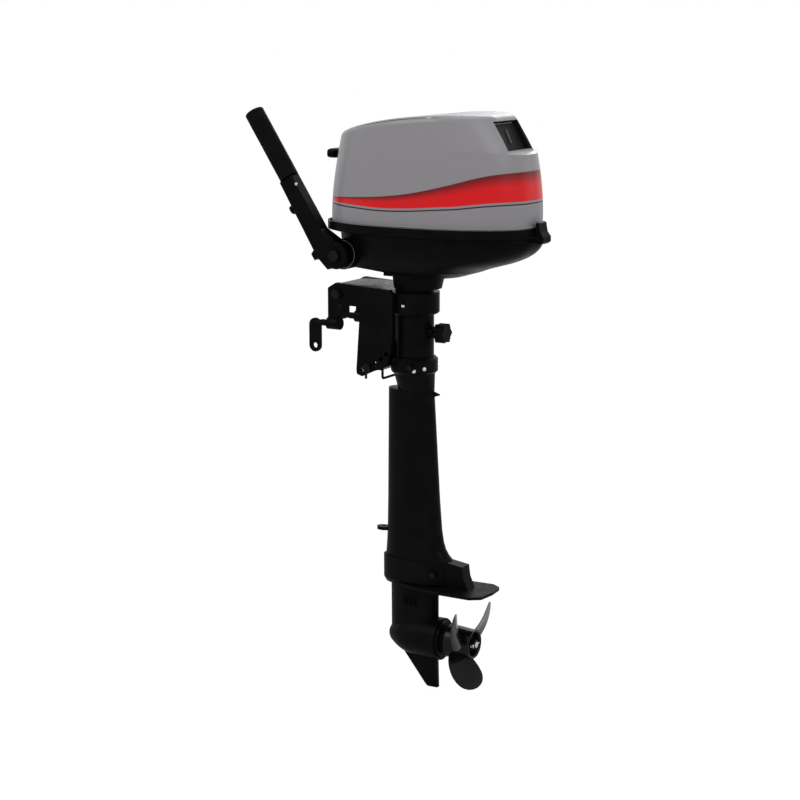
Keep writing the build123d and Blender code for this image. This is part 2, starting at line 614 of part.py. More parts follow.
# ---------------------------------------------------------------- shift linkage
with BuildPart() as shift_lever:
    with Locations(outboard(LEVER_X, 4.5, LEVER_Z, 1)):
        Cylinder(LEVER_SHAFT_R, 111, align=UP)
    with BuildSketch(port(-9)):
        with Locations((LEVER_X + 4, LEVER_Z)):
            SlotOverall(24, 10)
    extrude(amount=4.5)
    with BuildSketch(port(-115)):
        with Locations((LEVER_X, LEVER_Z + 22)):
            SlotOverall(64, 17, rotation=90)
    extrude(amount=6)
    with Locations(outboard(LEVER_X, 115, LEVER_Z + 44, 1)):
        Cylinder(9, 12, align=UP)
    fillet(shift_lever.edges().group_by(Axis.Y)[-1], 2)
save(shift_lever, "shift_lever")

ROD_TOP, ROD_END = 86.0, -629.0
with BuildPart() as shift_rod:
    with Locations((ROD_X, 0, ROD_END)):
        Cylinder(ROD_R, ROD_TOP - ROD_END, align=UP)
save(shift_rod, "shift_rod")

# ---------------------------------------------------------------- engine
WEB_R, WEB_THICK, PIN_GAP = 30.0, 14.0, 16.0
CYL_Z = 182.0
BORE_R = 29.5
BLOCK_Z0, BLOCK_Z1 = 92.0, 240.0

with BuildPart() as crankshaft:
    with Locations((STEER_X, 0, CRANK_Z0)):
        Cylinder(12, CYL_Z - PIN_GAP / 2 - CRANK_Z0, align=UP)
    for z in (CYL_Z - PIN_GAP / 2 - WEB_THICK, CYL_Z + PIN_GAP / 2):
        with Locations((STEER_X, 0, z)):
            Cylinder(WEB_R, WEB_THICK, align=UP)
    with Locations((STEER_X + 20, 0, CYL_Z)):
        Cylinder(9, PIN_GAP, align=MIDDLE)
    with Locations((STEER_X, 0, CYL_Z + PIN_GAP / 2)):
        Cylinder(12, 240 - CYL_Z - PIN_GAP / 2, align=UP)
    with Locations((STEER_X, 0, 240)):
        Cylinder(8, CRANK_Z1 - 240 + 10, align=UP)
save(crankshaft, "crankshaft")

with BuildPart() as cylinder_block:
    with Locations(((45 + 135) / 2, 0, BLOCK_Z0)):
        Box(90, 100, BLOCK_Z1 - BLOCK_Z0, align=UP)
    fillet(cylinder_block.edges().filter_by(Axis.Z), 16)
    with Locations(((130 + 212) / 2, 0, CYL_Z)):
        Box(82, 80, 82)
    for x in (150, 162, 174, 186, 198):
        with BuildSketch(aft(x, 0, CYL_Z)):
            Rectangle(92, 94)
        extrude(amount=4)
    for x in (80, 125):
        for y in (-32, 32):
            with Locations((x, y, PAN_FLOOR)):
                Box(14, 14, BLOCK_Z0 - PAN_FLOOR, align=UP)
    with Locations((STEER_X, 0, BLOCK_Z0)):
        Cylinder(22, 300, align=UP, mode=Mode.SUBTRACT)
    with Locations((STEER_X, 0, CYL_Z)):
        Cylinder(WEB_R + 3, 2 * WEB_THICK + PIN_GAP + 4, align=MIDDLE, mode=Mode.SUBTRACT)
    with Locations(aft(STEER_X, 0, CYL_Z)):
        Cylinder(BORE_R, 140, align=UP, mode=Mode.SUBTRACT)
save(cylinder_block, "cylinder_block")

with BuildPart() as piston:
    with Locations(aft(150, 0, CYL_Z)):
        Cylinder(BORE_R - RUN, 34, align=UP)
        Cylinder(24, 26, align=UP, mode=Mode.SUBTRACT)
    for x in (171, 175, 179):
        with BuildSketch(aft(x, 0, CYL_Z)):
            Circle(BORE_R)
            Circle(BORE_R - 1.5, mode=Mode.SUBTRACT)
        extrude(amount=1.5, mode=Mode.SUBTRACT)
save(piston, "piston")

PLUG_X, PLUG_Y = 226.0, 45.0
with BuildPart() as cylinder_head:
    with Locations((212, 0, CYL_Z)):
        Box(28, 2 * PLUG_Y, 88, align=(Align.MIN, Align.CENTER, Align.CENTER))
    fillet(cylinder_head.edges().filter_by(Axis.X), 6)
    with GridLocations(0, 0, 1, 1):
        with Locations((212 + 14, 0, CYL_Z + 44), (212 + 14, 0, CYL_Z - 44)):
            Box(5, 70, 16, mode=Mode.SUBTRACT)
save(cylinder_head, "cylinder_head")

with BuildPart() as rocker_cover:
    with Locations((240, 0, CYL_Z)):
        Box(26, 76, 76, align=(Align.MIN, Align.CENTER, Align.CENTER))
    fillet(rocker_cover.edges().filter_by(Axis.X), 8)
    fillet(rocker_cover.edges().group_by(Axis.X)[-1], 5)
save(rocker_cover, "rocker_cover")

with BuildPart() as spark_plug:
    with Locations(outboard(PLUG_X, PLUG_Y, CYL_Z + 8, 1)):
        Cylinder(8, 14, align=UP)
    with Locations(outboard(PLUG_X, PLUG_Y + 14, CYL_Z + 8, 1)):
        Cylinder(6, 24, align=UP)
    fillet(spark_plug.edges().group_by(Axis.Y)[-1], 2)
save(spark_plug, "spark_plug")

with BuildPart() as carburettor:
    with Locations((178, -47 - 22, CYL_Z)):
        Box(34, 44, 34)
    with Locations((178, -76, CYL_Z - 17 - 24)):
        Cylinder(15, 24, align=UP)
    with Locations(aft(195, -70, CYL_Z)):
        Cylinder(15, 20, align=UP)
        Cylinder(12, 30, align=UP, mode=Mode.SUBTRACT)
save(carburettor, "carburettor")

with BuildPart() as ignition_coil:
    with Locations((170, 0, CYL_Z + 47)):
        Box(14, 30, 34, align=(Align.MIN, Align.CENTER, Align.MIN))
    with Locations((170, 0, CYL_Z + 62)):
        Box(26, 18, 19, align=(Align.MIN, Align.CENTER, Align.MIN))
save(ignition_coil, "ignition_coil")

FLY_Z, FLY_R = 246.0, 70.0
with BuildPart() as flywheel:
    with Locations((STEER_X, 0, FLY_Z)):
        Cylinder(FLY_R, 20, align=UP)
        Cylinder(FLY_R - 8, 12, align=UP, mode=Mode.SUBTRACT)
        Cylinder(18, 20, align=UP)
        Cylinder(8, 20, align=UP, mode=Mode.SUBTRACT)
    with Locations((STEER_X, 0, FLY_Z + 20)):
        with PolarLocations(54, 18):
            Box(16, 2.5, 6, align=UP)
save(flywheel, "flywheel")

ROPE_Z, ROPE_R, PULLEY_R = 294.0, 2.0, 38.0
POST_R = 8.0
with BuildPart() as recoil_housing:
    with Locations((STEER_X, 0, BLOCK_Z1)):
        Cylinder(FLY_R + 6, 75, align=UP)
        Cylinder(FLY_R + 3, 72, align=UP, mode=Mode.SUBTRACT)
    fillet(recoil_housing.edges().group_by(Axis.Z)[-1], 8)
    with Locations((STEER_X, 0, ROPE_Z - 10)):
        Cylinder(POST_R, 30, align=UP)
    with Locations((STEER_X - FLY_R - 5, 0, ROPE_Z)):
        Box(16, 16, 16, mode=Mode.SUBTRACT)
    for z in (252, 262):
        for turn in range(30, 360, 30):
            with Locations(Plane(origin=(STEER_X, 0, z), x_dir=(0, 0, 1),
                                 z_dir=(-math.cos(math.radians(turn)), math.sin(math.radians(turn)), 0))):
                Box(6, 22, 90, align=UP, mode=Mode.SUBTRACT)
save(recoil_housing, "recoil_housing")

with BuildPart() as starter_pulley:
    with Locations((STEER_X, 0, ROPE_Z - 8)):
        Cylinder(PULLEY_R + 5, 14, align=UP)
        Cylinder(POST_R + RUN, 14, align=UP, mode=Mode.SUBTRACT)
    with BuildSketch(level(ROPE_Z - 4)):
        with Locations((STEER_X, 0)):
            Circle(PULLEY_R + 5)
            Circle(PULLEY_R, mode=Mode.SUBTRACT)
    extrude(amount=7, mode=Mode.SUBTRACT)
save(starter_pulley, "starter_pulley")

with BuildPart() as fuel_connector:
    with Locations(aft(-52, FUEL_Y, FUEL_Z)):
        Cylinder(FUEL_R, 14, align=UP)
    with Locations(aft(-74, FUEL_Y, FUEL_Z)):
        Cylinder(5.5, 22, align=UP)
        Cylinder(2.5, 36, align=UP, mode=Mode.SUBTRACT)
save(fuel_connector, "fuel_connector")

# ---------------------------------------------------------------- top cowl
COWL = [(LEDGE_Z + 2, -79, 350, 125), (240, -75, 349, 123.5), (310, -63, 338, 118.5), (420, -41, 310, 104)]
PANEL_HALF, PANEL_TOP = 30.0, 316.0
CHOKE_Y, STOP_Y, CONTROL_Z = 14.0, -14.0, 232.0
INTAKE_HALF = 50.0
TAIL = [(290, -90, 344, 121.5), (420, -90, 260.5, 115.8)]  # the crown's own plan, rounder aft than the walls


def cowl_solid(wall, rear_wall):
    """The top cowl's solid form: tapering oval walls under a crown that narrows aft and steps down to a ledge."""
    foot_x, foot_z = 320 - rear_wall, 309 - wall
    with BuildPart() as room:
        add(hull(shrink(TAIL, wall)))
        with BuildSketch(Plane.XZ):
            with BuildLine():
                crown = ThreePointArc((-120, 313 - wall), (110, 371.5 - wall), (258 - rear_wall, 378 - wall))
                Polyline(crown @ 1, (283 - rear_wall, 377 - wall), (foot_x, foot_z), (foot_x, 295), (-120, 295), crown @ 0)
            make_face()
        extrude(amount=200, both=True, mode=Mode.INTERSECT)
        with BuildSketch(Plane.XZ):
            with BuildLine():
                Polyline((-120, 312 - wall), (foot_x, foot_z), (346 - wall, 304 - wall), (420, 300 - wall),
                         (420, 100), (-120, 100), close=True)
            make_face()
        extrude(amount=200, both=True)
    with BuildPart() as body:
        add(hull(shrink(COWL, wall)))
        add(room.part, mode=Mode.INTERSECT)
        if wall == 0:
            rims = body.edges().filter_by(lambda e: e.center().Z > 318 and e.length > 60)
            fillet([e for e in rims if abs(e.center().X - 202) > 5 and abs(e.center().X - 258) > 0.5], 14)
    return body.part


cowl_shell = cowl_solid(0, 0) - cowl_solid(COWL_WALL, 36)

with BuildPart() as top_cowl:
    add(cowl_shell)
    with Locations((-40, 0, 100)):
        Box(120, 2 * PANEL_HALF, PANEL_TOP - 100, align=UP, mode=Mode.SUBTRACT)
    with BuildSketch(port(-INTAKE_HALF)):
        with BuildLine():
            Polyline((274, 367), (350, 367), (350, 313), (300, 313), close=True)
        make_face()
    extrude(amount=2 * INTAKE_HALF, mode=Mode.SUBTRACT)
save(top_cowl, "top_cowl")

with BuildPart() as front_panel:
    add(cowl_shell)
    with Locations((-40, 0, 100)):
        Box(120, 2 * PANEL_HALF - 1, PANEL_TOP - 100.5, align=UP, mode=Mode.INTERSECT)
    with Locations(aft(-120, 0, ROPE_Z)):
        Cylinder(ROPE_R + 1, 120, align=UP, mode=Mode.SUBTRACT)
    with Locations(aft(-120, CHOKE_Y, CONTROL_Z)):
        Cylinder(3 + RUN, 120, align=UP, mode=Mode.SUBTRACT)
    with Locations(aft(-120, STOP_Y, CONTROL_Z)):
        Cylinder(7 + RUN, 120, align=UP, mode=Mode.SUBTRACT)
save(front_panel, "front_panel")

SEAL = (-79, 350, 125)
with BuildPart() as cowl_seal:
    add(hull([(LEDGE_Z, *SEAL), (LEDGE_Z + 1.7, *SEAL)]))
    add(hull(shrink([(LEDGE_Z, *SEAL), (LEDGE_Z + 1.7, *SEAL)], 6)), mode=Mode.SUBTRACT)
save(cowl_seal, "cowl_seal")

# ---------------------------------------------------------------- controls on the front panel
HANDLE_X0, HANDLE_X1 = -98.0, -80.0

with BuildPart() as starter_handle:
    with BuildSketch(aft(HANDLE_X0, 0, ROPE_Z)):
        RectangleRounded(52, 21, 8)
    extrude(amount=HANDLE_X1 - HANDLE_X0)
    fillet(starter_handle.edges().group_by(Axis.X)[0], 4)
    with Locations(aft(HANDLE_X1, 0, ROPE_Z)):
        Cylinder(7, 5, align=UP)
    with Locations(aft(HANDLE_X0 + 4, 0, ROPE_Z)):
        Cylinder(ROPE_R, 60, align=UP, mode=Mode.SUBTRACT)
save(starter_handle, "starter_handle")

with BuildPart() as starter_rope:
    with Locations(aft(HANDLE_X0 + 4, 0, ROPE_Z)):
        Cylinder(ROPE_R, 100, align=UP)
save(starter_rope, "starter_rope")

with BuildPart() as choke_knob:
    with Locations(aft(-88, CHOKE_Y, CONTROL_Z)):
        Cylinder(8, 10, align=UP)
    fillet(choke_knob.edges().filter_by(GeomType.CIRCLE), 2)
    with Locations(aft(-79, CHOKE_Y, CONTROL_Z)):
        Cylinder(3, 46, align=UP)
save(choke_knob, "choke_knob")

with BuildPart() as stop_button:
    with Locations(aft(-78, STOP_Y, CONTROL_Z)):
        Cylinder(7, 22, align=UP)
    fillet(stop_button.edges().filter_by(GeomType.CIRCLE).group_by(Axis.X)[0], 2)
save(stop_button, "stop_button")

LATCH_X, LATCH_Z = 366.0, 150.0
with BuildPart() as cowl_latch:
    with BuildSketch(Plane.XZ):
        with BuildLine():
            Polyline((361, 141), (361, 160), (358.5, 172), (361, 181), (366, 179), (369, 162), (376, 153),
                     (376, 143), (370, 139), close=True)
        make_face()
    extrude(amount=16, both=True)
    with Locations(outboard(LATCH_X, 0, LATCH_Z)):
        Cylinder(3, 60, align=MIDDLE, mode=Mode.SUBTRACT)
        Cylinder(3, 44, align=MIDDLE)
save(cowl_latch, "cowl_latch")

# ---------------------------------------------------------------- tiller
RISE = math.radians(TILLER_RISE)
ARM_X, ARM_Z = -math.cos(RISE), math.sin(RISE)  # the arm's direction
DROP_X, DROP_Z = -math.sin(RISE), -math.cos(RISE)  # across the arm, towards its underside
TILLER_Y = (TILLER_IN + TILLER_OUT) / 2


def on_arm(along, under=0.0):
    """The (X, Z) of a point given along the arm and towards its underside from the pivot."""
    return (PIVOT_X + along * ARM_X + under * DROP_X, PIVOT_Z + along * ARM_Z + under * DROP_Z)


def arm_plane(along, under=TILLER_DROP):
    """A plane square to the arm, facing along it."""
    x, z = on_arm(along, under)
    return Plane(origin=(x, -TILLER_Y, z), x_dir=(0, -1, 0), z_dir=(ARM_X, 0, ARM_Z))


with BuildPart() as tiller_arm:
    with BuildSketch(port(TILLER_IN)):
        with BuildLine():
            Polyline(on_arm(-14, -20), on_arm(-14, 31), on_arm(16, 38), on_arm(16, 47), on_arm(30, 47),
                     on_arm(34, 38), on_arm(GRIP_START, 33), on_arm(GRIP_START, 1), on_arm(60, 1),
                     on_arm(26, -15), close=True)
        make_face()
        with Locations(on_arm(0)):
            Circle(27)
    extrude(amount=TILLER_OUT - TILLER_IN)
    fillet(tiller_arm.edges().filter_by(lambda e: abs(e.center().Y + TILLER_OUT) < 0.1), 4)
    with Locations(arm_plane(GRIP_START)):
        Cylinder(9, GRIP_END - GRIP_START - 8, align=UP)
    with Locations(outboard(PIVOT_X, -30, PIVOT_Z)):
        Cylinder(7 + RUN, 100, align=UP, mode=Mode.SUBTRACT)
    knob_x, knob_z = on_arm(126, 37.2)
    with Locations(Plane(origin=(knob_x, -TILLER_Y, knob_z), z_dir=(-DROP_X, 0, -DROP_Z))):
        Cylinder(3 + RUN, 20, align=UP, mode=Mode.SUBTRACT)
save(tiller_arm, "tiller_arm")

with BuildPart() as throttle_grip:
    with BuildSketch(arm_plane(GRIP_START + 0.5)):
        Circle(GRIP_R)
        Circle(9 + RUN, mode=Mode.SUBTRACT)
    extrude(amount=GRIP_END - GRIP_START - 8)
    with BuildSketch(arm_plane(GRIP_END - 7.5)):
        Circle(GRIP_R)
    extrude(amount=7.5)
    fillet(throttle_grip.edges().sort_by(lambda e: e.center().X * ARM_X + e.center().Z * ARM_Z)[-1], 4)
    for turn in range(0, 360, 30):
        with BuildSketch(arm_plane(GRIP_START + 22)):
            with PolarLocations(GRIP_R + 1.2, 1, start_angle=turn):
                Circle(2)
        extrude(amount=108, mode=Mode.SUBTRACT)
save(throttle_grip, "throttle_grip")

with BuildPart() as friction_knob:
    place = Plane(origin=(knob_x, -TILLER_Y, knob_z), z_dir=(-DROP_X, 0, -DROP_Z))
    with Locations(place.offset(-7)):
        Cylinder(9, 6, align=UP)
    with Locations(place.offset(-1)):
        Cylinder(3, 18, align=UP)
save(friction_knob, "throttle_friction_knob")

with BuildPart() as motor_bolts:
    with Locations(outboard(PIVOT_X, -44, PIVOT_Z)):
        Cylinder(7, TILLER_OUT + GAP - 44, align=UP)
    with BuildSketch(outboard(PIVOT_X, -TILLER_OUT - 0.5, PIVOT_Z)):
        RegularPolygon(12, 6)
    extrude(amount=6)
    for x, y in ((70, -16), (70, 16), (140, -20), (140, 20)):
        with BuildSketch(level(PAN_FLOOR)):
            with Locations((x, y)):
                RegularPolygon(5, 6)
        extrude(amount=4)
    for side in (-1, 1):
        with BuildSketch(outboard(STEER_X + 16, side * MOUNT_R, -114, side)):
            RegularPolygon(5.5, 6)
        extrude(amount=4)
        with BuildSketch(outboard(150, side * 31, -530, side)):
            RegularPolygon(5.5, 6)
        extrude(amount=4)
save(motor_bolts, "motor_bolts")
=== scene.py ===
import logging
import math
from dataclasses import dataclass
from enum import Enum
from functools import lru_cache

import bpy
import numpy as np
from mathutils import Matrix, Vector


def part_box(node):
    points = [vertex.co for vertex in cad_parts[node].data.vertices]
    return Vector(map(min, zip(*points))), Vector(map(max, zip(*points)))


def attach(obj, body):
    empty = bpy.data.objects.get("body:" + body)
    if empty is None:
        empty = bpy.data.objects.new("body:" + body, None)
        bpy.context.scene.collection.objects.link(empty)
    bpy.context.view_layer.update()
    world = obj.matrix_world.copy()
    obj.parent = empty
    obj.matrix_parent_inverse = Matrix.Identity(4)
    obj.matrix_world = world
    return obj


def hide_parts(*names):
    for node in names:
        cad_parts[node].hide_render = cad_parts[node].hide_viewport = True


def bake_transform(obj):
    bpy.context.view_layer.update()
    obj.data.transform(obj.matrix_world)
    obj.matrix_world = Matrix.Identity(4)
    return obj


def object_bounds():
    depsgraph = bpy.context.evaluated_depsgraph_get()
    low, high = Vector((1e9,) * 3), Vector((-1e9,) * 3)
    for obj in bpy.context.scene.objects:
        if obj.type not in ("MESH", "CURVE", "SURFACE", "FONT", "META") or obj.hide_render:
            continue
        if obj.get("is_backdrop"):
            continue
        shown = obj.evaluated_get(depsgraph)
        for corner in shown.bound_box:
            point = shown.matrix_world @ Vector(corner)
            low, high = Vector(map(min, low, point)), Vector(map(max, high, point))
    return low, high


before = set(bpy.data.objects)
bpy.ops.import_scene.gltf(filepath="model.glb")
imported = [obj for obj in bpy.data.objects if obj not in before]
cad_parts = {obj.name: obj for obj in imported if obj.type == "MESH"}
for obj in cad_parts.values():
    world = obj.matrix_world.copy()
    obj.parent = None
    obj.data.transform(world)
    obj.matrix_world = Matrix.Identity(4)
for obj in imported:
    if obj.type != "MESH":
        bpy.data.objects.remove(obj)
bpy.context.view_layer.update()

LOG = logging.getLogger("outboard")
MM = 0.001
TURN = 2 * math.pi

Colour = tuple[float, float, float]
Place = tuple[float, float, float]
Pair = tuple[float, float]
Socket = bpy.types.NodeSocket
Array = np.ndarray


def shade(red: int, green: int, blue: int) -> Colour:
    """A linear colour from three values on the usual display curve.

    Args:
        red, green, blue: the values, from 0 to 255.

    Returns:
        The colour that a shader takes.
    """
    def channel(value: int) -> float:
        """One channel: the display curve's straight foot, then its 2.4 power."""
        share = value / 255
        return share / 12.92 if share <= 0.04045 else ((share + 0.055) / 1.055) ** 2.4
    return channel(red), channel(green), channel(blue)


# ---------------------------------------------------------------- finishes
class NodeSheet:
    """The node tree of one finish, with a short call for each kind of node that it needs."""
    # A Mix node has sockets for every kind of value; these are its share, its two colours and its colour out.
    mix_share, mix_first, mix_second, mix_out = 0, 6, 7, 2

    def __init__(self, name: str) -> None:
        """Starts a material whose patterns read the object's own coordinates.

        Args:
            name: the material's name.
        """
        self.material = bpy.data.materials.new(name)
        self.material.use_nodes = True
        self.nodes = self.material.node_tree.nodes
        self.links = self.material.node_tree.links
        self.shader = self.nodes["Principled BSDF"]
        self.place = self.nodes.new("ShaderNodeTexCoord").outputs["Object"]

    def plug(self, node: bpy.types.Node, socket: str | int, value: object) -> None:
        """Links a socket, or sets a constant, on one input of a node.

        Args:
            node: the node.
            socket: its input's name or number.
            value: another node's output, or a constant.
        """
        if isinstance(value, Socket):
            self.links.new(value, node.inputs[socket])
        else:
            node.inputs[socket].default_value = value

    def constants(self, **values: object) -> None:
        """Sets the shader's own sockets, named with underscores for spaces."""
        for name, value in values.items():
            self.shader.inputs[name.replace("_", " ")].default_value = value

    def noise(self, scale: float, detail: float = 4.0, stretch: Place = (1, 1, 1)) -> Socket:
        """A cloudy value of 0 to 1.

        Args:
            scale: clouds per metre.
            detail: how many finer layers are added.
            stretch: the share of the scale along each axis; a small one draws the clouds out.

        Returns:
            The value's socket.
        """
        mapping = self.nodes.new("ShaderNodeMapping")
        mapping.inputs["Scale"].default_value = stretch
        self.links.new(self.place, mapping.inputs["Vector"])
        node = self.nodes.new("ShaderNodeTexNoise")
        self.links.new(mapping.outputs["Vector"], node.inputs["Vector"])
        node.inputs["Scale"].default_value = scale
        node.inputs["Detail"].default_value = detail
        return node.outputs["Fac"]

    def axis(self, letter: str) -> Socket:
        """One of the object's coordinates, in metres.

        Args:
            letter: X, Y or Z.

        Returns:
            The coordinate's socket.
        """
        node = self.nodes.new("ShaderNodeSeparateXYZ")
        self.links.new(self.place, node.inputs["Vector"])
        return node.outputs[letter]

    def math(self, operation: str, first: object, second: object = 0.0) -> Socket:
        """The result of one sum on sockets or numbers.

        Args:
            operation: the Math node's name for it, such as ADD or ABSOLUTE.
            first: the first value.
            second: the second value, where the sum has one.

        Returns:
            The result's socket.
        """
        node = self.nodes.new("ShaderNodeMath")
        node.operation = operation
        self.plug(node, 0, first)
        self.plug(node, 1, second)
        return node.outputs[0]

    def remap(self, value: object, low: float, high: float, to_low: float = 0.0, to_high: float = 1.0,
              smooth: bool = False) -> Socket:
        """Carries low…high to to_low…to_high, held at both ends.

        Args:
            value: the value.
            low, high: the range that it comes from.
            to_low, to_high: the range that it goes to.
            smooth: whether it follows a smooth step in place of a straight line.

        Returns:
            The result's socket.
        """
        node = self.nodes.new("ShaderNodeMapRange")
        node.interpolation_type = "SMOOTHSTEP" if smooth else "LINEAR"
        for socket, number in zip(("Value", "From Min", "From Max", "To Min", "To Max"),
                                  (value, low, high, to_low, to_high)):
            self.plug(node, socket, number)
        return node.outputs["Result"]

    def curve(self, value: object, points: tuple[Pair, ...]) -> Socket:
        """Reads a value of 0 to 1 through a smooth curve.

        Args:
            value: the value.
            points: the points that the curve passes, from 0 to 1.

        Returns:
            The result's socket.
        """
        node = self.nodes.new("ShaderNodeFloatCurve")
        line = node.mapping.curves[0]
        line.points[0].location, line.points[-1].location = points[0], points[-1]
        for point in points[1:-1]:
            line.points.new(*point)
        node.mapping.update()
        self.plug(node, "Value", value)
        return node.outputs["Value"]

    def mix(self, share: object, first: object, second: object) -> Socket:
        """A colour between two.

        Args:
            share: how much of the second, from 0 to 1.
            first: the first colour.
            second: the second colour.

        Returns:
            The colour's socket.
        """
        node = self.nodes.new("ShaderNodeMix")
        node.data_type = "RGBA"
        for socket, value in ((self.mix_share, share), (self.mix_first, first), (self.mix_second, second)):
            self.plug(node, socket, (*value, 1.0) if isinstance(value, tuple) else value)
        return node.outputs[self.mix_out]

    def bump(self, height: object, depth: float, under: object = None) -> Socket:
        """A normal that stands a height on the surface, or on another bump.

        Args:
            height: the height, from 0 to 1.
            depth: how far a height of 1 stands, in metres.
            under: the bump that it stands on, if any.

        Returns:
            The normal's socket.
        """
        node = self.nodes.new("ShaderNodeBump")
        node.inputs["Distance"].default_value = depth
        self.plug(node, "Height", height)
        if under is not None:
            self.links.new(under, node.inputs["Normal"])
        return node.outputs["Normal"]


@dataclass(frozen=True)
class Finish:
    """A surface: two near colours in slow clouds, a wandering roughness, and a grain that stands up.

    Roughness, specular level and coat are the shader's own numbers. Grain, clouds and patches are
    counted per metre, depth is how far the grain stands in metres, and stretch draws it out along an
    axis. A band is the range of a noise over which its pattern comes in.
    """
    name: str
    colour: Colour
    tint: Colour
    roughness: float
    spread: float = 0.06
    grain: float = 900.0
    depth: float = 0.00004
    specular: float = 0.3
    metallic: float = 0.0
    coat: float = 0.0
    stretch: Place = (1.0, 1.0, 1.0)
    coat_roughness: float = 0.12
    clouds: float = 26.0
    cloud_band: Pair = (0.38, 0.68)
    patches: float = 70.0
    patch_band: Pair = (0.3, 0.7)

    def base(self, sheet: NodeSheet) -> Socket:
        """The colour: the first, with the second in clouds a few centimetres across."""
        share = sheet.remap(sheet.noise(self.clouds, 5.0, self.stretch), *self.cloud_band, smooth=True)
        return sheet.mix(share, self.colour, self.tint)

    def relief(self, sheet: NodeSheet) -> Socket:
        """The standing grain."""
        return sheet.bump(sheet.noise(self.grain, 3.0, self.stretch), self.depth)

    def make(self) -> bpy.types.Material:
        """The finished material.

        Returns:
            The material, its colour, roughness and normal each fed by a pattern.
        """
        sheet = NodeSheet(self.name)
        sheet.constants(Metallic=self.metallic, Specular_IOR_Level=self.specular, Coat_Weight=self.coat,
                        Coat_Roughness=self.coat_roughness)
        sheet.plug(sheet.shader, "Base Color", self.base(sheet))
        sheet.plug(sheet.shader, "Roughness", sheet.remap(
            sheet.noise(self.patches, 6.0, self.stretch), *self.patch_band,
            self.roughness - self.spread, self.roughness + self.spread))
        sheet.plug(sheet.shader, "Normal", self.relief(sheet))
        return sheet.material


@dataclass(frozen=True)
class CastEnamel(Finish):
    """Enamel over a casting: a fine orange peel on slow waves, and pale salt bloom in thin streaks."""
    bloom: float = 0.25
    streaks: float = 160.0
    streak_run: Place = (1.0, 1.0, 0.12)
    streak_band: Pair = (0.55, 0.8)
    waves: float = 45.0
    wave_height: float = 0.0004

    def base(self, sheet: NodeSheet) -> Socket:
        """The enamel, greyed a little where streaks drawn down the casting gather.

        Args:
            sheet: the finish's nodes.

        Returns:
            The colour's socket.
        """
        streak = sheet.noise(self.streaks, 8.0, self.streak_run)
        share = sheet.remap(streak, *self.streak_band, 0.0, self.bloom, smooth=True)
        return sheet.mix(share, Finish.base(self, sheet), self.tint)

    def relief(self, sheet: NodeSheet) -> Socket:
        """Orange peel standing on slow waves of the casting."""
        waves = sheet.bump(sheet.noise(self.waves, 2.0), self.wave_height)
        return sheet.bump(sheet.noise(self.grain, 3.0), self.depth, waves)


@dataclass(frozen=True)
class PaintedSheenEnamel(CastEnamel):
    """Enamel greyed by a painted highlight above a height in metres, standing for overhead light on the
    swivel's flat top.
    """
    above: float = 0.034
    fade: float = 0.008
    # painted highlight: this pale grey stands for overhead light reflected off the flat top
    painted_sheen: Colour = shade(102, 98, 102)
    sheen_clouds: float = 60.0
    sheen_cloud_band: Pair = (0.3, 0.6)
    thinnest: float = 0.6

    def base(self, sheet: NodeSheet) -> Socket:
        """The enamel, and over it the painted highlight, in clouds that thicken over a few millimetres of
        height.

        Args:
            sheet: the finish's nodes.

        Returns:
            The colour's socket.
        """
        # painted highlight: the pale grey comes in above the given height, in clouds
        painted_sheen = sheet.remap(sheet.axis("Z"), self.above, self.above + self.fade, smooth=True)
        cloud = sheet.remap(sheet.noise(self.sheen_clouds, 6.0), *self.sheen_cloud_band, self.thinnest, 1.0, smooth=True)
        return sheet.mix(sheet.math("MULTIPLY", painted_sheen, cloud), CastEnamel.base(self, sheet), self.painted_sheen)


@dataclass(frozen=True)
class StripedLacquer(Finish):
    """Silver lacquer with fine flake, and one red speed stripe that widens aft over a thin dark line.

    The stripe lies between two curves of height against length, so it runs round the stern too. Front,
    rear, low and high, in metres, are the length and the height that the curves share out; the other
    measures of the stripe and the line are shares of those.
    """
    flake: float = 2600.0
    flake_band: Pair = (0.42, 0.6)
    front: float = -0.085
    rear: float = 0.352
    low: float = 0.150
    high: float = 0.330
    red: Colour = shade(205, 4, 14)
    deep_red: Colour = shade(62, 4, 9)
    dark: Colour = shade(24, 18, 20)
    middle: tuple[Pair, ...] = (
        (0.0, 0.335), (0.2, 0.345), (0.45, 0.365), (0.7, 0.445), (0.9, 0.53), (1.0, 0.545))
    half: tuple[Pair, ...] = (
        (0.0, 0.0), (0.08, 0.02), (0.3, 0.05), (0.6, 0.088), (0.85, 0.138), (1.0, 0.152))
    least_half: float = 0.01
    edge: float = 0.004
    start: Pair = (0.05, 0.09)
    deepening: Pair = (-0.1, 1.0)
    deepest: float = 0.85
    line_gap: float = 0.028
    line_edge: Pair = (0.009, 0.005)

    def base(self, sheet: NodeSheet) -> Socket:
        """Flaked silver, then the dark line, then the red stripe, which deepens towards its upper edge.

        Args:
            sheet: the finish's nodes.

        Returns:
            The colour's socket.
        """
        flakes = sheet.remap(sheet.noise(self.flake, 2.0), *self.flake_band)
        silver = sheet.mix(flakes, self.colour, self.tint)
        along = sheet.remap(sheet.axis("X"), self.front, self.rear)
        height = sheet.remap(sheet.axis("Z"), self.low, self.high)
        off = sheet.math("SUBTRACT", height, sheet.curve(along, self.middle))
        half = sheet.curve(along, self.half)
        within = sheet.math("SUBTRACT", half, sheet.math("ABSOLUTE", off))
        red_share = sheet.remap(within, -self.edge, self.edge, smooth=True)
        rise = sheet.math("DIVIDE", off, sheet.math("MAXIMUM", half, self.least_half))
        deep = sheet.remap(rise, *self.deepening, 0.0, self.deepest, smooth=True)
        started = sheet.remap(along, *self.start, smooth=True)
        under = sheet.math("ADD", sheet.math("ADD", off, half), self.line_gap)
        on_line = sheet.remap(sheet.math("ABSOLUTE", under), *self.line_edge, smooth=True)
        lined = sheet.mix(sheet.math("MULTIPLY", on_line, started), silver, self.dark)
        stripe = sheet.mix(deep, self.red, self.deep_red)
        return sheet.mix(sheet.math("MULTIPLY", red_share, started), lined, stripe)


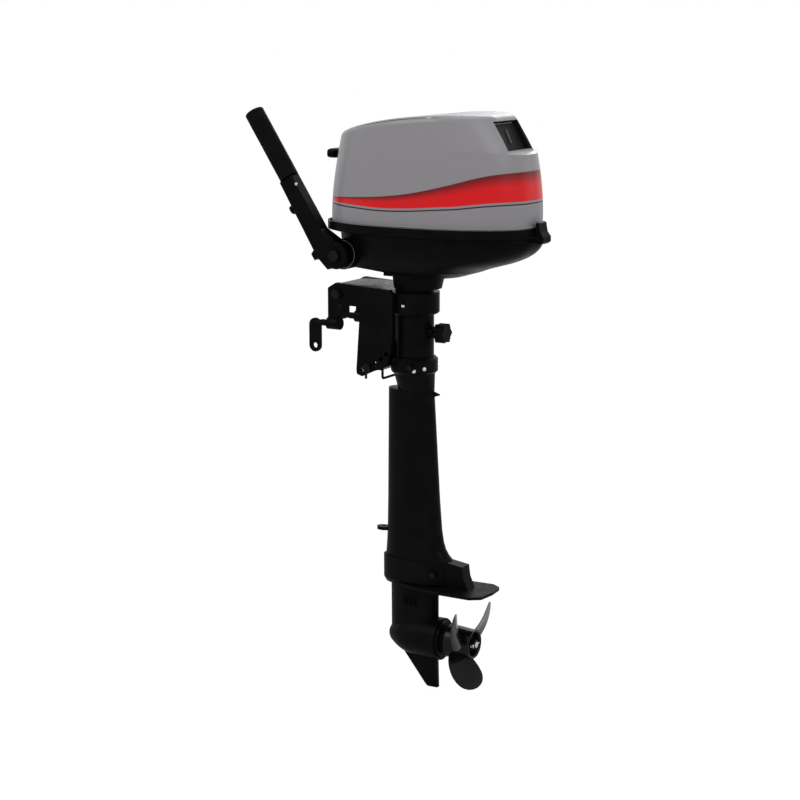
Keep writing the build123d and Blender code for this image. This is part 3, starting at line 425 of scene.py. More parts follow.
@dataclass(frozen=True)
class TurnedMetal(Finish):
    """Bare metal with tool marks: the grain drawn out to rings or lines, and duller spots."""
    spots: float = 420.0
    spot_band: Pair = (0.56, 0.72)

    def base(self, sheet: NodeSheet) -> Socket:
        """Bright metal with small dull spots."""
        share = sheet.remap(sheet.noise(self.spots, 8.0), *self.spot_band, smooth=True)
        return sheet.mix(share, self.colour, self.tint)


class Surface(Enum):
    """The finishes of this outboard: name, two colours, roughness, its spread, grain, depth, specular."""
    BRACKET = CastEnamel("bracket_enamel", shade(8, 7, 9), shade(13, 12, 14), 0.40, 0.08, specular=0.03)
    # the swivel's enamel carries a painted highlight on its flat top
    SWIVEL = PaintedSheenEnamel("swivel_enamel_and_painted_sheen", shade(8, 7, 9), shade(13, 12, 14), 0.3, 0.05, specular=0.03)
    LEG = CastEnamel("leg_enamel", shade(8, 8, 9), shade(12, 12, 13), 0.34, 0.08, specular=0.03)
    PLATE = CastEnamel("gearcase_enamel", shade(8, 8, 9), shade(12, 12, 12), 0.38, 0.08, specular=0.03)
    PROPELLER = Finish("propeller_enamel", shade(8, 8, 9), shade(12, 12, 13),
                       0.22, 0.06, 500.0, 0.00004, 0.13)
    SILVER = StripedLacquer("cowl_lacquer", shade(127, 125, 128), shade(136, 134, 137),
                            0.36, 0.03, 60.0, 0.00008, 0.2, coat=0.12)
    SILVER_PLAIN = Finish("trim_lacquer", shade(128, 126, 129), shade(137, 135, 138),
                          0.36, 0.03, 60.0, 0.00008, 0.2, coat=0.12)
    INSIDE = Finish("bare_moulding", shade(46, 46, 48), shade(58, 58, 60), 0.6, 0.06, 900.0, 0.00008, 0.1)
    PAN = Finish("pan_mould", shade(7, 6, 8), shade(10, 9, 11), 0.36, 0.06, 2400.0, 0.00003, 0.03)
    MOULD = Finish("black_mould", shade(8, 7, 9), shade(12, 11, 13), 0.42, 0.06, 2600.0, 0.00005, 0.03)
    # partly painted shade: the intake's dark moulding, kept dark to stand for the shade deep in the opening
    INTAKE_DARK_AND_SHADE = Finish("intake_mould_and_painted_shade", shade(20, 18, 20), shade(30, 28, 30), 0.5, 0.05, 2600.0, 0.00005, 0.1)
    # painted highlight: pale grey so that the bar and the rib show as lit lines in the dark intake
    RIB_GREY_HIGHLIGHT = Finish("rib_painted_highlight", shade(120, 114, 118), shade(138, 132, 136),
                        0.42, 0.05, 2600.0, 0.00004, 0.2)
    RUBBER = Finish("black_rubber", shade(9, 8, 10), shade(14, 13, 15), 0.56, 0.08, 1500.0, 0.00008, 0.03)
    STEEL = TurnedMetal("turned_steel", shade(188, 189, 192), shade(120, 118, 116),
                        0.28, 0.08, 900.0, 0.00003, 0.5, metallic=1.0, stretch=(1.0, 1.0, 6.0))
    BRIGHT_STEEL = TurnedMetal("bright_steel", shade(214, 214, 216), shade(160, 158, 156),
                               0.22, 0.06, 1400.0, 0.00002, 0.5, metallic=1.0)
    BLACK_STEEL = TurnedMetal("blackened_steel", shade(13, 12, 13), shade(24, 22, 21),
                              0.4, 0.08, 900.0, 0.00004, 0.1)
    ALUMINIUM = TurnedMetal("cast_aluminium", shade(176, 177, 178), shade(128, 128, 128),
                            0.48, 0.08, 1300.0, 0.00012, 0.5, metallic=1.0)
    ZINC = TurnedMetal("zinc_anode", shade(150, 152, 154), shade(96, 98, 98),
                       0.6, 0.1, 700.0, 0.0002, 0.5, metallic=0.9)
    IRON = TurnedMetal("machined_iron", shade(116, 114, 112), shade(78, 74, 70),
                       0.5, 0.1, 1100.0, 0.0001, 0.5, metallic=0.9)
    RED = Finish("red_button", shade(190, 20, 24), shade(168, 14, 18), 0.3, 0.05, 2000.0, 0.00003, 0.4)
    NYLON = Finish("natural_nylon", shade(206, 202, 190), shade(190, 186, 172),
                   0.46, 0.06, 1800.0, 0.00004, 0.35)
    # painted highlight: a pale ring colour that stands for light caught by the edge of the tiller's boss
    BOSS_RING_HIGHLIGHT = Finish("boss_ring_painted_highlight", shade(116, 118, 100), shade(96, 98, 84),
                    0.5, 0.06, 1800.0, 0.00004, 0.3)


@lru_cache(maxsize=None)
def material_of(surface: Surface) -> bpy.types.Material:
    """The material of a finish, made once."""
    return surface.value.make()


NODE_SURFACES: dict[Surface, tuple[str, ...]] = {
    Surface.BRACKET: ("clamp_bracket_port", "clamp_bracket_starboard", "clamp_screw_port",
                      "clamp_screw_starboard", "steering_friction_knob", "tilt_support"),
    Surface.SWIVEL: ("swivel_bracket",),
    Surface.LEG: ("steering_column", "lower_mount", "driveshaft_housing"),
    Surface.PLATE: ("gearcase", "bearing_carrier"),
    Surface.PROPELLER: ("propeller",),
    Surface.SILVER: ("top_cowl",),
    Surface.SILVER_PLAIN: ("front_panel",),
    Surface.PAN: ("lower_cowl",),
    Surface.MOULD: ("tiller_arm", "tiller_bracket", "cowl_latch", "starter_handle", "choke_knob",
                    "shift_lever", "throttle_friction_knob", "fuel_connector", "ignition_coil",
                    "recoil_housing", "starter_pulley", "water_screens", "carburettor"),
    Surface.RUBBER: ("throttle_grip", "cowl_seal", "impeller", "clamp_pad_port", "clamp_pad_starboard"),
    Surface.STEEL: ("propeller_shaft", "driveshaft", "crankshaft", "pinion", "forward_gear",
                    "reverse_gear", "clutch_dog", "shift_rod", "spark_plug"),
    Surface.BLACK_STEEL: ("tilt_bolt", "trim_pin", "motor_bolts", "prop_nut"),
    Surface.BRIGHT_STEEL: ("cotter_pin", "shaft_bearings"),
    Surface.ALUMINIUM: ("cylinder_block", "cylinder_head", "rocker_cover", "piston", "water_pump_housing"),
    Surface.ZINC: ("anode",),
    Surface.IRON: ("flywheel",),
    Surface.RED: ("stop_button",),
    Surface.NYLON: ("swivel_bushes", "starter_rope"),
}
COWL_MIDDLE: Place = (0.137, 0.0, 0.240)


def line_cowl(cowl: bpy.types.Object) -> None:
    """Gives the inside of the top cowl bare moulding, by a modifier that leaves its mesh as it is.

    A face is inside where its normal looks at the middle: (middle - position) . normal is above 0,
    which is what selects it.

    Args:
        cowl: the top cowl.
    """
    tree = bpy.data.node_groups.new("cowl_lining", "GeometryNodeTree")
    for way in ("INPUT", "OUTPUT"):
        tree.interface.new_socket("Geometry", in_out=way, socket_type="NodeSocketGeometry")
    nodes, links = tree.nodes, tree.links
    towards, facing = nodes.new("ShaderNodeVectorMath"), nodes.new("ShaderNodeVectorMath")
    towards.operation, facing.operation = "SUBTRACT", "DOT_PRODUCT"
    towards.inputs[0].default_value = COWL_MIDDLE
    links.new(nodes.new("GeometryNodeInputPosition").outputs["Position"], towards.inputs[1])
    links.new(towards.outputs["Vector"], facing.inputs[0])
    links.new(nodes.new("GeometryNodeInputNormal").outputs["True Normal"], facing.inputs[1])
    lining = nodes.new("GeometryNodeSetMaterial")
    lining.inputs["Material"].default_value = material_of(Surface.INSIDE)
    links.new(nodes.new("NodeGroupInput").outputs["Geometry"], lining.inputs["Geometry"])
    links.new(facing.outputs["Value"], lining.inputs["Selection"])
    links.new(lining.outputs["Geometry"], nodes.new("NodeGroupOutput").inputs["Geometry"])
    cowl.modifiers.new("cowl_lining", "NODES").node_group = tree


def dress_nodes() -> None:
    """Gives every CAD node its finish, in all of its slots, and refuses to leave one out."""
    left = set(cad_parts)
    for surface, names in NODE_SURFACES.items():
        for name in names:
            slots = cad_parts[name].data.materials
            slots.clear()
            slots.append(material_of(surface))
            left.discard(name)
    if left:
        raise ValueError(f"nodes without a finish: {sorted(left)}")
    line_cowl(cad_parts["top_cowl"])
    LOG.info("dressed %d nodes", len(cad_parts))


# ---------------------------------------------------------------- surfaces
def unit(vectors: Array) -> Array:
    """Each vector divided by its length."""
    return vectors / np.linalg.norm(vectors, axis=-1, keepdims=True)


@dataclass
class Form:
    """A closed mesh as whole arrays: points, and faces of four and of three corners."""
    points: Array
    quads: Array
    triangles: Array

    @classmethod
    def grid(cls, points: Array, ring_u: bool = False) -> "Form":
        """A closed surface from a grid of points whose second parameter runs round.

        Point (i, j) joins (i + 1, j + 1), with j + 1 taken round; where u is open, each end ring is
        closed to its own middle. Faces are turned over if the volume they enclose comes out negative.

        Args:
            points: an array (u, v, 3).
            ring_u: whether the first parameter runs round too.

        Returns:
            The surface, facing outwards.
        """
        count_u, count_v = points.shape[:2]
        index = np.arange(count_u * count_v).reshape(count_u, count_v)
        rows = np.vstack([index, index[:1]]) if ring_u else index
        cells = np.concatenate([rows, rows[:, :1]], axis=1)
        quads = np.stack([cells[:-1, :-1], cells[1:, :-1], cells[1:, 1:], cells[:-1, 1:]], -1).reshape(-1, 4)
        flat = points.reshape(-1, 3)
        triangles = np.zeros((0, 3), int)
        if not ring_u:
            middles = points[[0, -1]].mean(axis=1)
            first, last = len(flat), len(flat) + 1
            flat = np.vstack([flat, middles])
            ring_a, ring_b = cells[0], cells[-1]
            fan_a = np.stack([np.full(count_v, first), ring_a[:-1], ring_a[1:]], -1)
            fan_b = np.stack([np.full(count_v, last), ring_b[1:], ring_b[:-1]], -1)
            triangles = np.vstack([fan_a, fan_b])
        form = cls(flat, quads, triangles)
        return form if form.volume() > 0 else form.reversed()

    def volume(self) -> float:
        """The enclosed volume: a sixth of the sum of each triangle's triple product.

        Returns:
            The volume, below 0 where the faces look inwards.
        """
        three = np.vstack([self.quads[:, [0, 1, 2]], self.quads[:, [0, 2, 3]], self.triangles])
        a, b, c = (self.points[three[:, k]] for k in range(3))
        return float(np.einsum("ij,ij->i", a, np.cross(b, c)).sum() / 6)

    def reversed(self) -> "Form":
        """The same surface with its faces turned over."""
        return Form(self.points, self.quads[:, ::-1], self.triangles[:, ::-1])

    def mirrored(self) -> "Form":
        """The form on the other side of the centre plane."""
        return Form(self.points * (1, -1, 1), self.quads[:, ::-1], self.triangles[:, ::-1])

    def joined(self, *others: "Form") -> "Form":
        """This form and others as one.

        Args:
            others: the other forms.

        Returns:
            The joined form, its parts still apart.
        """
        points, quads, triangles = self.points, self.quads, self.triangles
        for other in others:
            shift = len(points)
            points = np.vstack([points, other.points])
            quads = np.vstack([quads, other.quads + shift])
            triangles = np.vstack([triangles, other.triangles + shift])
        return Form(points, quads, triangles)

    def mesh(self, name: str) -> bpy.types.Mesh:
        """The form as a mesh.

        Args:
            name: the mesh's name.

        Returns:
            The mesh.
        """
        made = bpy.data.meshes.new(name)
        made.from_pydata(self.points.tolist(), [], self.quads.tolist() + self.triangles.tolist())
        made.validate()
        return made


def placed(name: str, data: bpy.types.ID) -> bpy.types.Object:
    """Puts a new object with this data into the scene.

    Args:
        name: the object's name.
        data: its mesh, camera or lamp.

    Returns:
        The object, at the origin.
    """
    made = bpy.data.objects.new(name, data)
    bpy.context.scene.collection.objects.link(made)
    return made


def piece(name: str, shape: Form | bpy.types.Mesh, body: str, surface: Surface,
          sharp: float = 35.0, replaces: tuple[str, ...] = ()) -> bpy.types.Object:
    """Puts a finished shape into the scene as a piece of the outboard.

    Args:
        name: the piece's name.
        shape: its form or its mesh, in place.
        body: the body it rides on, or nothing for a piece left on no body.
        surface: its finish.
        sharp: faces that meet at more than this many degrees keep a hard edge.
        replaces: the nodes it stands for.

    Returns:
        The object.
    """
    mesh = shape.mesh(name) if isinstance(shape, Form) else shape
    mesh.shade_smooth()
    mesh.set_sharp_from_angle(angle=math.radians(sharp))
    mesh.materials.clear()
    mesh.materials.append(material_of(surface))
    made = placed(name, mesh)
    if body:
        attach(made, body)
    if replaces:
        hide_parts(*replaces)
    LOG.info("%s: %d faces on %s", name, len(mesh.polygons), body or "two bodies")
    return made


def turned(profile: Array, origin: Place, along: Place, sides: int = 0, steps: int = 48,
           closed: bool = False) -> Form:
    """A profile carried round an axis.

    A point is origin + along * height + radius * (a cos t + b sin t), where a and b are square to the
    axis. With sides, the radius is that of a regular polygon: cos(pi / n) / cos(t mod (2 pi / n) - pi / n).

    Args:
        profile: an array (n, 2) of radius and height.
        origin: where the axis starts.
        along: the axis's direction.
        sides: the polygon's sides, or 0 for a circle.
        steps: points round.
        closed: whether the profile is itself a ring.

    Returns:
        The closed surface.
    """
    along = unit(np.asarray(along, float))
    helper = np.array([0.0, 0.0, 1.0]) if abs(along[2]) < 0.9 else np.array([1.0, 0.0, 0.0])
    first = unit(np.cross(along, helper))
    second = np.cross(along, first)
    angle = np.arange(steps) * TURN / steps
    reach = np.ones(steps)
    if sides:
        half = math.pi / sides
        reach = math.cos(half) / np.cos(angle % (2 * half) - half)
    round_it = (first * np.cos(angle)[:, None] + second * np.sin(angle)[:, None]) * reach[:, None]
    points = (np.asarray(origin, float) + profile[:, 1, None, None] * along
              + profile[:, 0, None, None] * round_it[None])
    return Form.grid(points, ring_u=closed)


def swept(path: Array, normals: Array, width: Array, height: Array, closed: bool = False,
          steps: int = 12) -> Form:
    """A low bead carried along a path on a surface.

    Its section is an ellipse: path + normal * height * sin t + across * width / 2 * cos t, where across is
    the path's direction times the normal.

    Args:
        path: points (n, 3) on the surface.
        normals: the surface's normals there.
        width: the bead's width at each point.
        height: how far it stands at each point.
        closed: whether the path is a ring.
        steps: points round the section.

    Returns:
        The closed bead.
    """
    if closed:
        tangent = unit(np.roll(path, -1, axis=0) - np.roll(path, 1, axis=0))
    else:
        tangent = unit(np.gradient(path, axis=0))
    across = unit(np.cross(tangent, normals))
    angle = np.arange(steps) * TURN / steps
    points = (path[:, None] + normals[:, None] * (height[:, None] * np.sin(angle))[..., None]
              + across[:, None] * (width[:, None] / 2 * np.cos(angle))[..., None])
    return Form.grid(points, ring_u=closed)


# ---------------------------------------------------------------- sub-assemblies
@dataclass
class PropellerCasting:
    """The propeller: raked, swept blades of true section on a hub with a recessed rear.

    Lengths are in metres and angles in degrees; full_at is the share of the blade's length at which it
    is widest. Tip_round, section and taper are the exponents of the tip's outline, of the blade's
    section and of its thickness along it.
    """
    blades: int = 3
    tip: float = 99.0 * MM
    root: float = 25.0 * MM
    pitch: float = 170.0 * MM
    turn: float = -79.0
    skew: float = 30.0
    rake: float = 25.0 * MM
    root_chord: float = 40.0 * MM
    full_chord: float = 83.0 * MM
    full_at: float = 0.6
    tip_round: float = 1.9
    tip_least: float = 0.002
    root_thick: float = 5.0 * MM
    tip_thick: float = 1.6 * MM
    section: float = 0.8
    taper: float = 0.8
    hub_length: float = 59.0 * MM
    shaft_end: float = 4.0 * MM
    spans: int = 56
    rounds: int = 40

    def __post_init__(self) -> None:
        """Reads the height of the axis, and where the hub starts, from the shaft that carries it."""
        low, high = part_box("propeller_shaft")
        self.axis_z = (low.z + high.z) / 2
        self.front = high.x - self.shaft_end - self.hub_length

    def chord(self, share: Array) -> Array:
        """The blade's width: a quarter sine up to its fullest, then a rounded fall to the tip.

        Args:
            share: how far out along the blade, from 0 to 1.

        Returns:
            The width there.
        """
        rise = self.root_chord + (self.full_chord - self.root_chord) * np.sin(
            np.minimum(share / self.full_at, 1) * math.pi / 2)
        past = np.clip((share - self.full_at) / (1 - self.full_at), 0, 1)
        fall = self.full_chord * np.sqrt(np.maximum(1 - past ** self.tip_round, self.tip_least))
        return np.where(share <= self.full_at, rise, fall)

    def middle(self, number: int, share: Array, across: Array) -> tuple[Array, Array]:
        """A blade's middle surface, a raked and swept helix.

        At a radius the pitch angle is atan(pitch / 2 pi r), and the blade is swept by skew * share squared
        and raked by rake * share.

        Args:
            number: which of the blades.
            share: how far out along the blade, from 0 to 1.
            across: how far across, as a share of the half chord.

        Returns:
            The points, and the direction out from the axis at each.
        """
        reach = self.root + (self.tip - self.root) * share
        lean = np.arctan(self.pitch / (TURN * reach))
        along = across * self.chord(share) / 2
        start = self.turn + 360 / self.blades * number
        angle = np.radians(start + self.skew * share ** 2) + along * np.cos(lean) / reach
        outward = np.stack([np.zeros_like(angle), -np.sin(angle), np.cos(angle)], -1)
        forward = self.front + self.hub_length / 2 + self.rake * share + along * np.sin(lean)
        axis = np.stack([forward, np.zeros_like(angle), np.full_like(angle, self.axis_z)], -1)
        return outward * reach[..., None] + axis, outward

    def blade(self, number: int) -> Form:
        """One blade: thickness / 2 * |sin t| ** section off its middle surface, at half chord * cos t.

        Args:
            number: which of the blades.

        Returns:
            The closed blade, its root inside the hub.
        """
        share = np.sin(np.linspace(0, 1, self.spans) * math.pi / 2)[:, None]
        t = np.arange(self.rounds) * TURN / self.rounds
        across = np.broadcast_to(np.cos(t), (self.spans, self.rounds))
        step = 1e-4
        centre, outward = self.middle(number, share, across)
        ahead, _ = self.middle(number, share, across + step)
        behind, _ = self.middle(number, share, across - step)
        normal = unit(np.cross(ahead - behind, outward))
        thick = self.tip_thick + (self.root_thick - self.tip_thick) * (1 - share) ** self.taper
        lift = thick / 2 * np.sign(np.sin(t)) * np.abs(np.sin(t)) ** self.section
        return Form.grid(centre + normal * lift[..., None])

    def hub(self) -> Form:
        """The hub: a tapering ring round the shaft, hollowed behind for the nut, with rounded lips.

        Returns:
            The closed ring.
        """
        profile = np.array([
            (6.05, 0.0), (26, 0.0), (29.5, 0.6), (31.8, 2.0), (33.2, 4.2), (33.4, 6), (32.4, 20), (31.2, 36),
            (29.9, 52), (29.4, 57.0), (28.6, 58.6), (27.2, 59), (26.0, 58.8), (25.2, 58.0), (23.4, 55),
            (23.2, 47), (22.4, 45.4), (20.5, 45.0), (19, 45.4), (17.5, 45.0), (6.05, 45.0)])
        return turned(profile * MM, (self.front, 0, self.axis_z), (1, 0, 0), steps=96, closed=True)

    def build(self) -> None:
        """Joins the blades to the hub and puts the casting in place of its solid."""
        base = placed("hub_join", self.hub().mesh("hub_join"))
        helpers = []
        for number in range(self.blades):
            helper = placed(f"blade_join_{number}", self.blade(number).mesh(f"blade_join_{number}"))
            union = base.modifiers.new(f"blade_{number}", "BOOLEAN")
            union.operation, union.object, union.solver = "UNION", helper, "EXACT"
            helpers.append(helper)
        bpy.context.view_layer.update()
        mesh = bpy.data.meshes.new_from_object(base.evaluated_get(bpy.context.evaluated_depsgraph_get()))
        for helper in (base, *helpers):
            bpy.data.objects.remove(helper)
        mesh.name = "propeller_casting"
        piece("propeller_casting", mesh, "propeller", Surface.PROPELLER, 40.0,
              ("propeller",))


@dataclass
class CowlTrim:
    """Details on the top cowl: the bead at its foot, and the inside of the air intake.

    The bead's measures are in metres. The intake's are in millimetres, its corners as x and z: the edges
    of the recess's sloping floor, and those of its open rim. Each plate comes lip in from its wall of the
    recess, with a gap of skin or two behind it. Lean is how much further aft the roof and the sill reach
    on their lower face than on their upper one, and short is how far a plate or bar stops from its side.
    """
    exponent_aft: float = 2.5
    exponent_fore: float = 2.3
    bead_z: float = 170.2 * MM
    bead_inset: Pair = (0.4 * MM, 0.2 * MM)
    bead_width: float = 2.2 * MM
    bead_height: float = 1.0 * MM
    bead_steps: int = 240
    floor_top: Pair = (274.0, 367.0)
    floor_foot: Pair = (300.0, 313.0)
    rim_top: Pair = (281.5, 367.0)
    rim_foot: Pair = (312.5, 313.0)
    half: float = 49.9
    lip: float = 1.2
    skin: float = 0.1
    lean: float = 0.6
    roof_reach: float = 6.4
    roof_short: float = 5.0
    sill_reach: float = 4.2
    bar_down: float = 7.5
    bar_short: Pair = (3.0, 14.0)
    rib_span: Pair = (0.36, 0.8)
    rib_y: float = 2.0
    rib_off: float = 1.0
    rib_width: float = 1.3
    rib_height: float = 2.4
    rib_steps: int = 24

    def foot_bead(self) -> None:
        """A thin bright bead where the cowl leaves the rim.

        The path is the superellipse |x/a| ** n + |y/b| ** n = 1, with its own n aft and fore.
        """
        low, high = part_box("top_cowl")
        steps = self.bead_steps
        angle = np.arange(steps) * TURN / steps
        cosine, sine = np.cos(angle), np.sin(angle)
        power = 2 / np.where(cosine >= 0, self.exponent_aft, self.exponent_fore)
        middle, length = (low.x + high.x) / 2, (high.x - low.x) / 2 - self.bead_inset[0]
        half = high.y - self.bead_inset[1]
        path = np.stack([middle + length * np.sign(cosine) * np.abs(cosine) ** power,
                         half * np.sign(sine) * np.abs(sine) ** power, np.full(steps, self.bead_z)], -1)
        flat = np.roll(path, -1, axis=0) - np.roll(path, 1, axis=0)
        normals = unit(np.stack([flat[:, 1], -flat[:, 0], np.zeros(steps)], -1))
        bead = swept(path, normals, np.full(steps, self.bead_width), np.full(steps, self.bead_height),
                     closed=True)
        piece("cowl_foot_bead", bead, "top_cowl", Surface.SILVER_PLAIN)

    def slope(self) -> tuple[Array, Array, Array, Array]:
        """The sloping floor of the recess.

        Returns:
            Its directions down and out, and the top and foot edges of the liner that lies on it.
        """
        top, foot = np.array(self.floor_top), np.array(self.floor_foot)
        down = unit(foot - top)
        out = np.array([-down[1], down[0]])
        return down, out, top + out * self.lip, foot + out * self.lip

    def liner(self) -> None:
        """The intake's dark moulded liner, partly painted shade for the opening's depth: five thin plates on
        the recess's floor, cheeks, roof and sill.
        """
        _, out, inner_top, inner_foot = self.slope()
        top, foot, rim_top, rim_foot = (
            np.array(corner) for corner in (self.floor_top, self.floor_foot, self.rim_top, self.rim_foot))
        half, lip, skin = self.half, self.lip, self.skin
        floor = np.array([top + out * skin, foot + out * skin, inner_foot, inner_top])
        cheek = np.array([top, foot, rim_foot, rim_top])
        roof = np.array([top, rim_top + (self.roof_reach, 0),
                         rim_top + (self.roof_reach + self.lean, -lip), inner_top]) - (0, skin)
        sill = np.array([foot, rim_foot + (self.sill_reach, 0),
                         rim_foot + (self.sill_reach - self.lean, lip), inner_foot]) + (0, skin)
        plates = (self.prism(floor, -half, half),
                  self.prism(cheek, half - lip, half - skin),
                  self.prism(cheek, skin - half, lip - half),
                  self.prism(roof, self.roof_short - half, half - self.roof_short),
                  self.prism(sill, -half, half))
        liner = plates[0].joined(*plates[1:])
        # partly painted shade: these dark plates stand for the shade deep in the intake as well as its
        # moulding
        piece("intake_liner_and_painted_shade", liner, "top_cowl", Surface.INTAKE_DARK_AND_SHADE)

    def ribs(self) -> None:
        """A round-topped bar across the liner's floor near its roof, and a thin rib down its middle, both
        pale grey as a painted highlight.
        """
        down, out, inner_top, inner_foot = self.slope()
        section = np.array([(-1.0, 0.0), (-0.8, 2.2), (0, 2.8), (0.8, 2.2), (1.0, 0.0)])
        ring = inner_top + down * self.bar_down + section @ np.array([down, out])
        bar = self.prism(ring, self.bar_short[0] - self.half, self.half - self.bar_short[1])
        steps = self.rib_steps
        along = np.linspace(*self.rib_span, steps)[:, None]
        spine = inner_top + (inner_foot - inner_top) * along + out * self.rib_off
        path = np.stack([spine[:, 0], np.full(steps, self.rib_y), spine[:, 1]], -1) * MM
        normals = np.broadcast_to([out[0], 0.0, out[1]], (steps, 3))
        rib = swept(path, normals, np.full(steps, self.rib_width * MM), np.full(steps, self.rib_height * MM))
        # painted highlight: the pale grey stands for light along the rib and the bar
        piece("intake_ribs", rib.joined(bar), "top_cowl",
              Surface.RIB_GREY_HIGHLIGHT)

    def prism(self, ring: Array, start: float, end: float) -> Form:
        """An upright outline carried straight across, all in millimetres.

        Args:
            ring: the outline, as x and z.
            start: the y that it is carried from.
            end: the y that it is carried to.

        Returns:
            The closed prism, in metres.
        """
        shape = (2, len(ring))
        sides = np.array([start, end])[:, None]
        points = np.stack([np.broadcast_to(ring[:, 0], shape), np.broadcast_to(sides, shape),
                           np.broadcast_to(ring[:, 1], shape)], -1)
        return Form.grid(points * MM)

    def build(self) -> None:
        """Makes all of the trim."""
        self.foot_bead()
        self.liner()
        self.ribs()


@dataclass
class StarterPull:
    """The recoil starter's handle: a pillow-shaped bar with a waisted middle."""
    layers: int = 18
    rounds: int = 48
    exponent: float = 3.2
    crown: int = 4
    inset: float = 0.0075
    waist: float = 0.12

    def build(self) -> None:
        """Carries a superellipse through the handle's depth, swelling from its back to a crowned face.

        At depth share s, kept a little inside 0 and 1 so that neither face closes to a point, the half
        sizes are scaled by (1 - |2 s - 1| ** crown) ** (1 / crown). The section is a superellipse, its
        long side waisted by a cosine.
        """
        low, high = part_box("starter_handle")
        share = (1 - np.cos(np.linspace(0.0, 1.0, self.layers) * math.pi)) / 2
        depth = share * (1 - 2 * self.inset) + self.inset / 2
        scale = (1 - np.abs(2 * depth - 1) ** self.crown) ** (1 / self.crown)
        angle = np.arange(self.rounds) * TURN / self.rounds
        power = 2 / self.exponent
        y = np.sign(np.cos(angle)) * np.abs(np.cos(angle)) ** power
        z = np.sign(np.sin(angle)) * np.abs(np.sin(angle)) ** power
        half_y, half_z, middle_z = (high.y - low.y) / 2, (high.z - low.z) / 2, (high.z + low.z) / 2
        waist = 1 - self.waist * np.cos(y * math.pi / 2)
        x = np.broadcast_to((low.x + (high.x - low.x) * share)[:, None], (self.layers, self.rounds))
        points = np.stack([x, scale[:, None] * y * half_y,
                           middle_z + scale[:, None] * z * waist * half_z], -1)
        piece("starter_pull", Form.grid(points), "starter_handle",
              Surface.MOULD, 60.0, ("starter_handle",))


@dataclass
class StarterRope:
    """The starter's laid rope, from the recoil housing to its handle."""
    radius: float = 1.95 * MM
    strands: int = 3
    lay: float = 14 * MM
    groove: float = 0.1
    steps: int = 260
    rounds: int = 24

    def build(self) -> None:
        """Lays the strands along the rope's solid, and leaves the rope on no body.

        The radius is scaled by 1 - groove + groove * |cos| of strands / 2 times the turn less the lay's
        twist, so that each strand is one lobe.
        """
        low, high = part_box("starter_rope")
        middle_z = (low.z + high.z) / 2
        x = np.linspace(low.x, high.x, self.steps)[:, None]
        angle = np.arange(self.rounds) * TURN / self.rounds
        lobe = np.abs(np.cos(self.strands / 2 * (angle - TURN * x / self.lay)))
        reach = self.radius * (1 - self.groove + self.groove * lobe)
        points = np.stack([np.broadcast_to(x, reach.shape), reach * np.cos(angle),
                           middle_z + reach * np.sin(angle)], -1)
        made = piece("starter_line", Form.grid(points), "", Surface.NYLON, 60.0,
                     ("starter_rope",))
        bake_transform(made)


